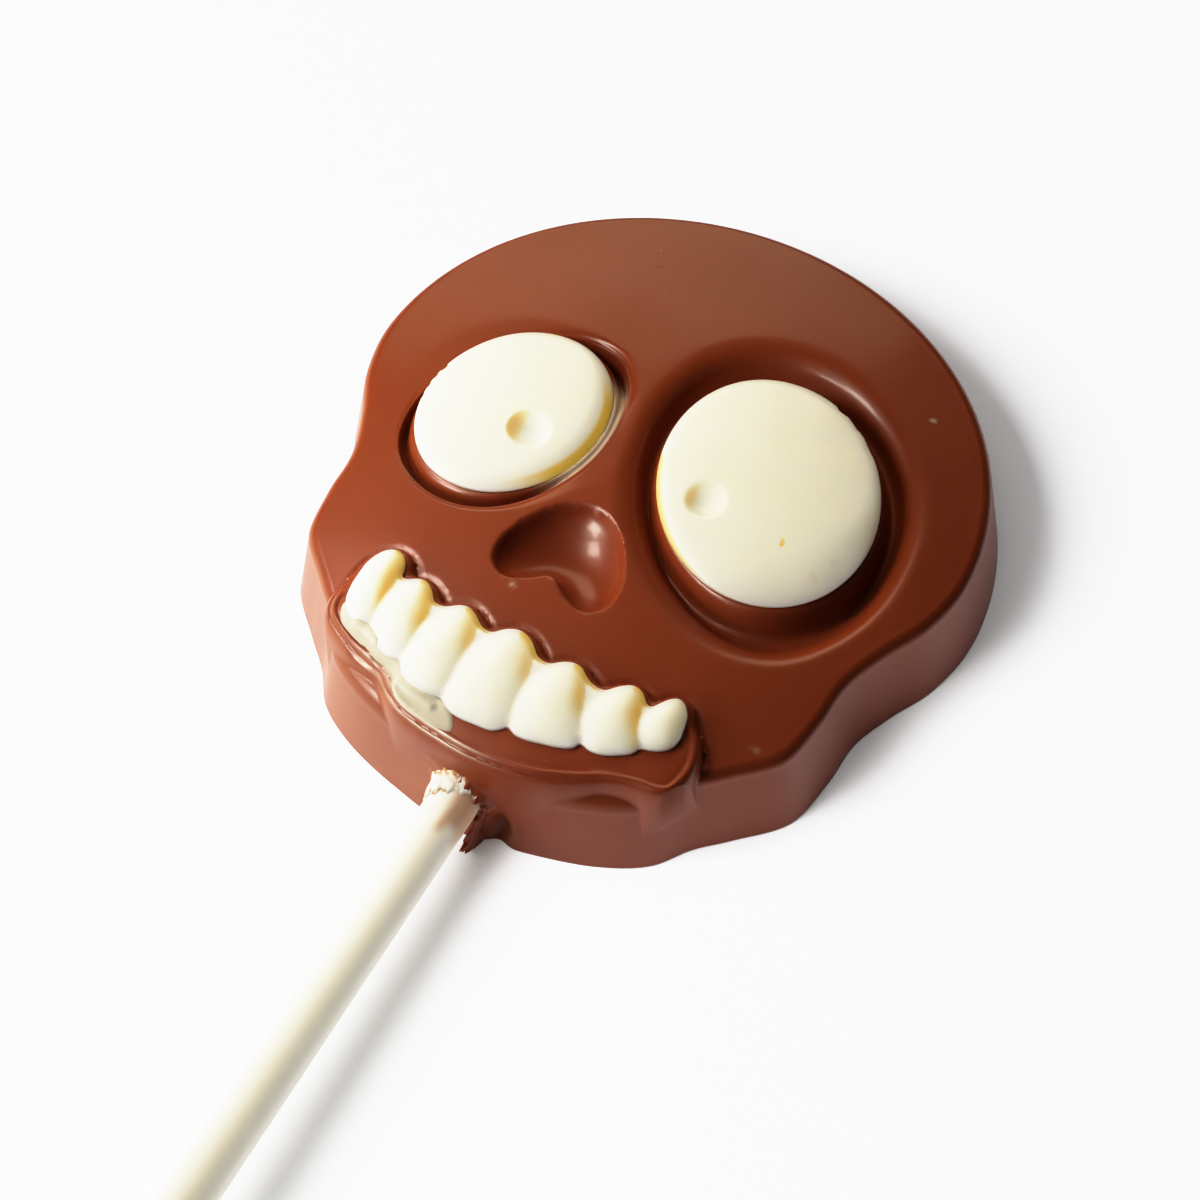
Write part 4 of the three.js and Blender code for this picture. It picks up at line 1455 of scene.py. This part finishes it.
# %% Shells round the stick
def shell(outer, inner):
    """Points and faces of a closed shell between two grids of rows and columns of points."""
    skin = Skin()
    number = skin.add_points(outer.reshape(-1, 3)).reshape(outer.shape[:2])
    skin.add_points(inner.reshape(-1, 3))
    corners = [number[:-1, :-1], number[:-1, 1:], number[1:, 1:], number[1:, :-1]]
    quads = np.stack(corners, axis=-1).reshape(-1, 4)
    skin.add_faces(quads)
    skin.add_faces(quads[:, ::-1] + number.size)
    rim = np.array([*number[0], *number[1:, -1], *number[-1, :-1][::-1], *number[1:-1, 0][::-1]])
    skin.add_faces(band(rim + number.size, rim))
    return skin.parts()


def round_stick(turn, radius, y):
    """Places at a turn and a distance from the stick's axis; a turn of 90 degrees is up."""
    return np.stack([radius * np.cos(turn), y, bore_centre_z(y) + radius * np.sin(turn)], axis=-1)


print("top of the stick at the chin", round_stick(math.pi / 2, STICK["diameter"] / 2, CHIN_Y).round(2))

# %% [markdown]
# The collar is widest and longest at the left and over the stick. Each of its rows is a turn in
# degrees, the distance from the stick's axis where it leaves the wall, and its length.

# %% Collar of burst paper
COLLAR = [
    (-24, 2.35, 0.4), (0, 2.55, 0.5), (30, 2.7, 0.6), (60, 2.8, 0.9), (90, 2.85, 1.4), (120, 2.95, 2.0),
    (150, 2.75, 2.3), (180, 2.5, 2.2), (205, 2.35, 1.6),
]


def collar_grids():
    """Outer and inner grid of the paper collar."""
    degrees, reach, length = np.array(COLLAR, dtype=float).T
    turn = np.linspace(degrees[0], degrees[-1], 130)
    ragged = 1 + 0.12 * np.sin(turn * 0.21) + 0.06 * np.sin(turn * 0.47 + 1)
    size = np.interp(turn, degrees, reach) + 0.05 * np.sin(turn * 0.33)
    run = np.interp(turn, degrees, length) * ragged
    along, turn = np.meshgrid(np.linspace(0.0, 1.0, 30), np.radians(turn), indexing="ij")
    tube = STICK["diameter"] / 2 + 0.015
    wall = wall_y((size * np.cos(turn)).ravel(), (5.0 + size * np.sin(turn)).ravel()).reshape(turn.shape)
    y = wall + 0.2 - (run + 0.2) * along
    flat = round_stick(turn, tube + 0 * y, y)
    lumps = ripple(flat.reshape(-1, 3), 1.1, 51).reshape(turn.shape)
    fluff = ripple(flat.reshape(-1, 3), 0.4, 52).reshape(turn.shape)
    swell = (size - tube) * (1 - along) ** 1.5 + 0.2 * (1 - along**6)
    swell *= 1 + 0.13 * lumps + 0.05 * fluff
    return round_stick(turn, tube + np.maximum(swell, 0.03), y), flat


outer, inner = collar_grids()
torn_collar = make_piece("torn_collar", *shell(outer, inner), None, "paper", sharp=50.0)

# %% Caramel edges of the collar
here = places(torn_collar)
rows, columns = outer.shape[:2]
along, across = np.divmod(np.arange(len(here)) % (rows * columns), columns)
along, across = along / (rows - 1), across / (columns - 1)
border = np.maximum(1 - ease(along, 0.2, 0.45), ease(along, 0.8, 0.95) * ease(across, 0.45, 0.6))
border = np.maximum(border, (1 - ease(across, 0.2, 0.42)) * 0.8)
scraps = ease(ripple(here, 0.5, 53), -0.35, 0.2)
paint(torn_collar, "caramel", 0.9 * border * scraps)
paint(torn_collar, "stain", 0.06 + 0.3 * (1 - border) * ease(ripple(here, 0.9, 54), 0.2, 0.8))
print("caramel points on the collar", int((border * scraps > 0.5).sum()))

# %% [markdown]
# The curl is a flap of chocolate that the stick pulled out of the wall. It is thick where it
# grows from the wall and runs out to a thin ragged edge, longest near the sheet. Each of its rows
# is a height, a place across and a length.

# %% Curl beside the stick
CURL = [
    (5.6, 2.42, 0.35), (5.0, 2.5, 0.5), (4.2, 2.42, 1.0), (3.4, 2.15, 1.6), (2.6, 1.9, 2.1), (1.8, 1.9, 2.5),
    (1.0, 2.0, 2.3), (0.45, 2.1, 1.8), (0.08, 2.15, 1.3),
]


def curl_grids():
    """Right-hand and left-hand grid of the curl that hangs beside the stick."""
    z, x, length = np.array(CURL).T
    level = np.linspace(z[0], z[-1], 60)
    ragged = 1 + 0.1 * np.sin(level * 5.0) + 0.07 * np.sin(level * 11.0 + 1)
    run = np.interp(-level, -z, length) * ragged
    side = np.interp(-level, -z, x)
    along, level = np.meshgrid(np.linspace(0.0, 1.0, 24), level, indexing="ij")
    wall = wall_y(side, np.maximum(level[0], 0.6))
    y = wall + 0.25 - (run + 0.25) * along
    x = side - 0.1 * along
    flat = np.stack([x, y, level], axis=-1)
    lumps = ripple(flat.reshape(-1, 3), 0.9, 61).reshape(level.shape)
    thick = 0.3 * (1 - along**5) * (1 + 0.3 * lumps) + 0.05
    outer = flat + np.stack([thick + 0.15 * (1 - along) ** 3, 0 * y, 0 * y], axis=-1)
    return outer, flat


outer, inner = curl_grids()
torn_curl = make_piece("torn_curl", *shell(inner, outer), None, "milk_chocolate", sharp=50.0)
for name in ("crumbs_and_painted_sheen", "painted_wall_reflection"):
    paint(torn_curl, name, np.zeros(len(torn_curl.data.vertices)))


# %% [markdown]
# Where white chocolate turns away from the light it is butter yellow, because only light that has soaked
# through it comes out there. That yellow is painted shade: how far each point turns to the right is painted
# on the pieces, and the material mixes the two tones by it. The large eye also gets the yellow on its thin
# lower left rim and in two tiny specks, a painted shade with the socket's brown reflected in it on its lower
# right rim, and two dull stains.

# %% Painted yellow shade and tint, painted shade with reflected brown, and stains on the eyes
YELLOW_SPECKS = [(14.0, 6.4, 0.16), (14.1, 6.1, 0.16)]
DULL_SPOTS = [(18.8, 7.0, 0.4), (17.9, 4.8, 0.5)]


def spots(here, marks):
    """1 inside small round marks, each given by its place and radius."""
    here = here[:, :2] + 0.12 * np.column_stack([ripple(here, 0.6, 71), ripple(here, 0.6, 72)])
    inside = []
    for x, y, radius in marks:
        away = np.linalg.norm(here - (x, y), axis=1)
        inside.append(1 - ease(away, 0.6 * radius, 1.3 * radius))
    return np.max(inside, axis=0)


def in_pupil(piece, eye):
    """1 inside the pupil's dent, and the painted yellow shade on its side that turns to the right."""
    dent = 1 - ease(np.linalg.norm(places(piece)[:, :2] - eye["pupil"], axis=1), 2.1, 2.5)
    right = turned_towards(piece, (0.9, 0.1, 0.0))
    return dent, 0.65 * dent * ease(right, 0.1, 0.45)


small_eye, large_eye = white_eyes
eye = EYES["eye_left"]
here = places(small_eye)
gap = here[:, :2] - (eye["x"], eye["y"])
turn = np.degrees(np.arctan2(gap[:, 1], gap[:, 0]))
# Painted yellow shade on the right side of the rim, which turns away from the light, and in the pupil's
# dent.
on_right = ease(turn, -75.0, -30.0) * (1 - ease(turn, 30.0, 60.0))
from_rim = -eye_share(eye, here[:, :2]) * eye["half_width"]
shade_and_yellow_tint = np.maximum(in_pupil(small_eye, eye)[1], on_right * (1 - ease(from_rim, 0.55, 1.0)))
paint(small_eye, "shade_and_yellow_tint", shade_and_yellow_tint)
paint(small_eye, "shade_reflection_and_stains", np.zeros(len(here)))
print("yellow points on the small eye", int((shade_and_yellow_tint > 0.5).sum()))

here = places(large_eye)
dent, dent_shade = in_pupil(large_eye, EYES["eye_right"])
# Painted shade with the socket's brown reflected in it on the lower right rim, away from the pupil, and two
# dull stains.
shade_reflection_and_stains = (1 - dent) * ease(turned_towards(large_eye, (0.85, -0.5, 0.0)), 0.2, 0.7)
paint(large_eye, "shade_reflection_and_stains", np.maximum(shade_reflection_and_stains, 0.35 * spots(here, DULL_SPOTS)))
# Painted yellow shade on the pupil's side turned from the light, the yellow tint of the thin lower left rim,
# and two yellow specks.
left = turned_towards(large_eye, (-0.85, -0.3, 0.0)) * ease(12.0 - here[:, 1], 0.0, 3.0)
shade_and_yellow_tint = np.maximum(dent_shade, (1 - dent) * 0.8 * ease(left, 0.35, 0.7))
shade_and_yellow_tint = np.maximum(shade_and_yellow_tint, spots(here, YELLOW_SPECKS))
paint(large_eye, "shade_and_yellow_tint", shade_and_yellow_tint)
print("yellow points on the large eye", int((shade_and_yellow_tint > 0.5).sum()))

# %% Painted yellow shade between the teeth
here = places(white_teeth)
# Painted yellow shade on the sides of the teeth turned away from the light and low in the valleys between
# them, less on the last tooth.
tip_side = ease(here[:, 1] + 17.0 + 0.1 * np.abs(here[:, 0] + 2.0), -1.0, 2.5)
right = ease(turned_towards(white_teeth, (0.9, 0.43, 0.0)), 0.1, 0.55)
low = 1 - ease(here[:, 2], TEETH_SEAT_Z + 0.5, TEETH_SEAT_Z + 1.0)
valley = 0.9 * low * ease(right, 0.0, 0.3)
last_tooth = 1 - 0.75 * ease(here[:, 0], 12.2, 13.2)
shade_and_yellow_tint = tip_side * last_tooth * np.maximum(0.85 * right, valley)
paint(white_teeth, "shade_and_yellow_tint", shade_and_yellow_tint)
paint(white_teeth, "shade_reflection_and_stains", np.zeros(len(here)))
print("yellow points on the teeth", int((shade_and_yellow_tint > 0.5).sum()))

# %% [markdown]
# ## Shader maths in plain expressions
# Node trees are easier to read as formulas. A small class wraps an output socket, so that
# 1 - mask or noise * 0.2 adds a Math node by itself. Every other node comes from one method.

# %% Sockets that can be reckoned with
class Value:
    """An output socket that can be used in expressions."""

    def __init__(self, finish, socket):
        self.finish = finish
        self.socket = socket

    def reckon(self, operation, first, second):
        return self.finish.node("Math", {"operation": operation}, {0: first, 1: second})

    def __add__(self, other):
        return self.reckon("ADD", self, other)

    def __radd__(self, other):
        return self.reckon("ADD", other, self)

    def __sub__(self, other):
        return self.reckon("SUBTRACT", self, other)

    def __rsub__(self, other):
        return self.reckon("SUBTRACT", other, self)

    def __mul__(self, other):
        return self.reckon("MULTIPLY", self, other)

    def __rmul__(self, other):
        return self.reckon("MULTIPLY", other, self)


print("a Value can be added, subtracted and multiplied, on either side of the sign")

# %% A material under construction
class Finish:
    """A material under construction."""

    def __init__(self, name):
        self.material = bpy.data.materials.new(name)
        self.material.use_nodes = True
        self.tree = self.material.node_tree
        self.surface = self.tree.nodes["Principled BSDF"]

    def feed(self, socket, value):
        """Links or sets one input."""
        if isinstance(value, Value):
            self.tree.links.new(value.socket, socket)
        else:
            socket.default_value = value

    def dress(self, **values):
        """Links or sets the surface shader's sockets; _ stands for a space in their names."""
        for name, value in values.items():
            self.feed(self.surface.inputs[name.replace("_", " ")], value)

    def node(self, kind, settings=None, inputs=None, output=0):
        """Adds a node: its type, its settings, then the values or links of its sockets."""
        made = self.tree.nodes.new("ShaderNode" + kind)
        for key, value in (settings or {}).items():
            setattr(made, key, value)
        for key, value in (inputs or {}).items():
            self.feed(made.inputs[key], value)
        return Value(self, made.outputs[output])

    def place(self):
        """Place on the object, in metres."""
        return self.node("TexCoord", output="Object")

    def noise(self, size_mm, detail=3.0, roughness=0.5):
        """Noise from 0 to 1 whose blobs are about size_mm across."""
        inputs = {"Vector": self.place(), "Scale": 1.0 / (size_mm * MM)}
        inputs.update({"Detail": detail, "Roughness": roughness})
        return self.node("TexNoise", {"noise_dimensions": "3D"}, inputs)

    def between(self, value, low, high):
        """0 below low, 1 above high and a smooth change between them."""
        settings = {"interpolation_type": "SMOOTHSTEP"}
        return self.node("MapRange", settings, {"Value": value, "From Min": low, "From Max": high})

    def blend(self, mask, first, second):
        """The first colour where the mask is 0 and the second where it is 1."""
        return self.node("Mix", {"data_type": "RGBA"}, {0: mask, 6: first, 7: second}, output=2)

    def painted(self, name):
        """A number that was painted on the piece's points."""
        return self.node("Attribute", {"attribute_name": name}, output="Fac")

    def raised(self, height, depth_mm, before=None):
        """A bump whose full height is depth_mm."""
        inputs = {"Height": height, "Distance": depth_mm * MM, "Strength": 1.0}
        if before:
            inputs["Normal"] = before
        return self.node("Bump", None, inputs)


trial = Finish("trial")
trial.dress(Roughness=1.0 - trial.noise(1.0) * 0.5)
print("one expression on noise added", [node.type for node in trial.tree.nodes][2:])
bpy.data.materials.remove(trial.material)

# %% Tones as picked on screen
def tone(red, green, blue):
    """A colour as picked on screen, from 0 to 255, as light."""
    parts = [c / 255 for c in (red, green, blue)]
    light = [c / 12.92 if c <= 0.04045 else ((c + 0.055) / 1.055) ** 2.4 for c in parts]
    return (*light, 1.0)


print("mid grey on screen is", round(tone(128, 128, 128)[0], 3), "as light")

# %% [markdown]
# ## Milk chocolate
# Set chocolate is a dark brown solid with a satin skin: the mould's polish, dulled by handling.
# Its colour is nearly even, with faint clouds, tiny air pits and pale specks of fat. A plain glossy brown
# looks like plastic, so roughness and bump carry fine noise at several sizes. The painted crumbs, the
# painted highlights and the painted reflections are mixed in last.

# %% Milk chocolate
def milk_chocolate():
    """Satin brown with clouds, specks, pits, painted crumbs, painted highlights and painted reflections."""
    finish = Finish("milk_chocolate")
    clouds = finish.noise(7.0, 4.0, 0.6)
    fine = finish.noise(0.35, 3.0, 0.6)
    base = finish.blend(clouds, tone(127, 58, 28), tone(136, 63, 32))
    specks = finish.between(finish.noise(0.7, 1.0, 0.4), 0.8, 0.85)
    base = finish.blend(specks * 0.35, base, tone(176, 112, 80))
    pits = finish.between(finish.noise(1.3, 0.0, 0.4), 0.84, 0.88)
    base = finish.blend(pits * 0.2, base, tone(80, 36, 20))
    # Pale crumbs, and the painted highlights and reflections, in one pale tone.
    base = finish.blend(finish.painted("crumbs_and_painted_sheen") * 0.8, base, tone(212, 198, 180))
    # Painted reflection of the lit sheet on the left wall, mottled by the clouds.
    base = finish.blend(finish.painted("painted_wall_reflection") * (0.2 + clouds * 0.25), base, tone(178, 132, 96))
    roughness = 0.32 + clouds * 0.08 + fine * 0.05
    waves = finish.raised(finish.noise(1.6, 3.0, 0.55), 0.012)
    finish.dress(Base_Color=base, Roughness=roughness, Normal=finish.raised(fine, 0.006, waves))
    finish.dress(IOR=1.46, Specular_IOR_Level=0.2, Coat_Weight=0.15, Coat_Roughness=0.14)
    finish.dress(Subsurface_Weight=0.1, Subsurface_Scale=0.8 * MM, Subsurface_Radius=(1.0, 0.35, 0.15))
    return finish.material


brown = milk_chocolate()
print("nodes in the milk chocolate", len(brown.node_tree.nodes))

# %% [markdown]
# ## White chocolate
# Cocoa butter and milk make a warm ivory that lets light in: the shaded sides turn butter yellow. Subsurface
# scattering does that, helped by a yellow shade painted where light is lost. A brown-grey shade with the
# socket's reflection is painted on the large eye's lower right rim. The spilt film is the same mixture, but
# so thin that the brown below greys it and little light runs through it, so it gets darker tones, partly
# painted shade, and less scattering.

# %% White chocolate
def white_chocolate(name, light, dark, scatter):
    """Ivory with painted yellow shade and tint, painted shade with reflected brown, and stains; scatter is
    the share of light that goes in.
    """
    finish = Finish(name)
    clouds = finish.noise(4.0, 3.0, 0.5)
    fine = finish.noise(0.4, 2.0, 0.5)
    base = finish.blend(clouds, light, dark)
    # Painted yellow shade where the white turns from the light, also the yellow tint of thin places and
    # specks.
    base = finish.blend(finish.painted("shade_and_yellow_tint"), base, tone(254, 200, 96))
    # Painted shade with the socket's brown reflected in it, also the dull stains.
    base = finish.blend(finish.painted("shade_reflection_and_stains") * 0.6, base, tone(214, 178, 148))
    waves = finish.raised(finish.noise(1.8, 2.0, 0.5), 0.01)
    finish.dress(Base_Color=base, Roughness=0.3 + clouds * 0.1, Normal=finish.raised(fine, 0.004, waves))
    finish.dress(IOR=1.45, Subsurface_Weight=scatter)
    finish.dress(Subsurface_Scale=2.0 * MM, Subsurface_Radius=(0.8, 0.8, 0.55))
    return finish.material


white = white_chocolate("white_chocolate", tone(252, 249, 233), tone(249, 244, 224), 0.8)
# The film's darker tones are partly the brown below showing through and partly painted shade.
thin_white_painted_shade = white_chocolate("thin_white_painted_shade", tone(206, 201, 186), tone(196, 189, 171), 0.1)
print("nodes in the white chocolate", len(white.node_tree.nodes))

# %% [markdown]
# ## Paper
# The stick is plain paper, matt and a little uneven, with fine fibres. Chocolate has soaked into
# its right side near the hole, and the torn edges of the collar are caramel brown. Both places
# are painted on the points, so one material serves the stick and the collar.

# %% Paper
def stick_paper():
    """Matt paper with fibres and the painted stain and caramel."""
    finish = Finish("stick_paper")
    fibres = finish.noise(0.25, 3.0, 0.6)
    clouds = finish.noise(3.0, 2.0, 0.5)
    base = finish.blend(clouds, tone(252, 249, 239), tone(246, 242, 229))
    base = finish.blend(finish.painted("stain"), base, tone(196, 148, 112))
    base = finish.blend(finish.painted("caramel"), base, tone(190, 128, 52))
    finish.dress(Base_Color=base, Roughness=0.75 + fibres * 0.15, Normal=finish.raised(fibres, 0.008))
    finish.dress(Subsurface_Weight=0.5, Subsurface_Scale=1.2 * MM, Subsurface_Radius=(1.0, 0.95, 0.8))
    return finish.material


paper = stick_paper()
print("nodes in the paper", len(paper.node_tree.nodes))

# %% Give each piece its material
for material, pieces in (
    (brown, [chocolate_head, torn_curl]),
    (white, [*white_eyes, white_teeth]),
    (thin_white_painted_shade, [white_film]),
    (paper, [paper_stick, torn_collar]),
):
    for piece in pieces:
        piece.data.materials.append(material)
    print(material.name, "on", [piece.name for piece in pieces])


# %% [markdown]
# ## Floor and light
# The sweet lies on a plain white sheet. A studio would light it with soft boxes on the left, one
# of them so near that the right-hand side falls into shade, and a pale panel behind that gives
# the crown its sheen. Cards would keep those lamps off the sheet, which has its own lamps and
# stays white. Here light linking does the work of the cards.

# %% Floor
FLOOR_HALF = 2.0
FLOOR_Z = -0.05 * MM
corners = [(x * FLOOR_HALF, y * FLOOR_HALF, FLOOR_Z) for x, y in ((-1, -1), (1, -1), (1, 1), (-1, 1))]
floor_mesh = bpy.data.meshes.new("floor")
floor_mesh.from_pydata(corners, [], [(0, 1, 2, 3)])
floor = bpy.data.objects.new("floor", floor_mesh)
scene.collection.objects.link(floor)
sheet = Finish("white_sheet")
sheet_tone = sheet.blend(sheet.noise(40.0), (0.87, 0.87, 0.87, 1), (0.88, 0.88, 0.88, 1))
sheet.dress(Base_Color=sheet_tone, Roughness=0.95, Specular_IOR_Level=0.1)
floor_mesh.materials.append(sheet.material)
print("floor", 2 * FLOOR_HALF, "m wide")

# %% What each lamp may light
def lit_group(name, pieces):
    """A collection of the pieces that a lamp lights."""
    group = bpy.data.collections.new(name)
    for piece in pieces:
        group.objects.link(piece)
    return group


on_sweet = lit_group("lit_sweet", dressed_pieces)
on_sheet = lit_group("lit_sheet", [floor])
on_white = lit_group("lit_white", [*white_eyes, white_teeth, paper_stick, torn_collar])
on_brown = lit_group("lit_brown", [chocolate_head, torn_curl])

# %% [markdown]
# Two soft boxes stand so near on the left that their light falls off across the face. They are
# kept out of reflections, or they would draw hot streaks round the large socket. Two gleam lamps
# are the opposite: they show only in reflections, so they polish the chocolate and don't make it
# lighter. White chocolate glows all round because light runs through it, and a wide weak lamp
# from the right adds the part of that glow which the scattering leaves out.

# %% Soft boxes
def soft_light(name, azimuth, elevation, distance, size, power, lit, colour=(1.0, 1.0, 1.0)):
    """A soft box in a direction from the sweet, in degrees and millimetres, that faces it."""
    turn, rise = math.radians(azimuth), math.radians(elevation)
    away = Vector((math.cos(turn) * math.cos(rise), math.sin(turn) * math.cos(rise), math.sin(rise)))
    lamp = bpy.data.lights.new(name, "AREA")
    lamp.shape = "RECTANGLE"
    lamp.size, lamp.size_y = size[0] * MM, size[1] * MM
    lamp.energy = power
    lamp.color = colour
    holder = bpy.data.objects.new(name, lamp)
    scene.collection.objects.link(holder)
    holder.location = away * distance * MM
    holder.rotation_mode = "QUATERNION"
    holder.rotation_quaternion = (-away).to_track_quat("-Z", "Y")
    holder.light_linking.receiver_collection = lit
    return holder


WARM = (1.0, 0.95, 0.84)
CROWN_WARM = (1.0, 0.84, 0.6)
soft_light("box_in_front", 255, 20, 200, (60, 60), 0.06, on_sweet, WARM)
soft_light("box_low_left", 225, 20, 200, (60, 60), 0.13, on_sweet, WARM)
soft_light("panel_behind", 120, 34, 280, (160, 132), 0.44, on_sweet, CROWN_WARM)
soft_light("near_box", 206, 54, 92, (34, 34), 0.06, on_sweet, WARM).visible_glossy = False
soft_light("near_low_box", 195, 20, 92, (30, 30), 0.036, on_sweet, WARM).visible_glossy = False
soft_light("white_fill", 325, 40, 420, (260, 260), 0.36, on_white, WARM)
soft_light("gleam_left", 202, 54, 62, (18, 18), 0.05, on_brown, WARM).visible_diffuse = False
soft_light("gleam_front", 240, 34, 110, (46, 46), 0.34, on_brown, WARM).visible_diffuse = False
soft_light("sheet_key", 226, 44, 600, (330, 330), 8.5, on_sheet)
soft_light("sheet_fill", 0, 89, 700, (900, 900), 3.4, on_sheet)

# %% [markdown]
# ## Room and highlights
# The room adds a faint light from all round. A photograph keeps detail in its lightest places,
# where a plain conversion burns out to flat white. A curve over all channels lets the highlights
# run out softly, and a gamma below one deepens the shaded brown.

# %% Room and highlight curve
ROOM_LIGHT = 0.03
DEEPEN = 0.8
BRIGHTEST = 2.5
HIGHLIGHT_STOPS = [
    (0.0, 0.0), (0.6, 0.6), (0.8, 0.77), (1.0, 0.875), (1.3, 0.945), (1.8, 0.972), (2.5, 0.985),
]

world = bpy.data.worlds.new("room")
world.use_nodes = True
background = world.node_tree.nodes["Background"]
background.inputs["Color"].default_value = (1.0, 1.0, 1.0, 1.0)
background.inputs["Strength"].default_value = ROOM_LIGHT
scene.world = world
scene.view_settings.view_transform = "Standard"
scene.view_settings.gamma = DEEPEN
scene.view_settings.use_curve_mapping = True
curves = scene.view_settings.curve_mapping
curves.white_level = (BRIGHTEST, BRIGHTEST, BRIGHTEST)
every_channel = curves.curves[3]
every_channel.points[0].location = (0.0, 0.0)
every_channel.points[1].location = (1.0, HIGHLIGHT_STOPS[-1][1])
for light_in, light_out in HIGHLIGHT_STOPS[1:-1]:
    every_channel.points.new(light_in / BRIGHTEST, light_out)
curves.update()
print("highlight curve through", len(every_channel.points), "points")
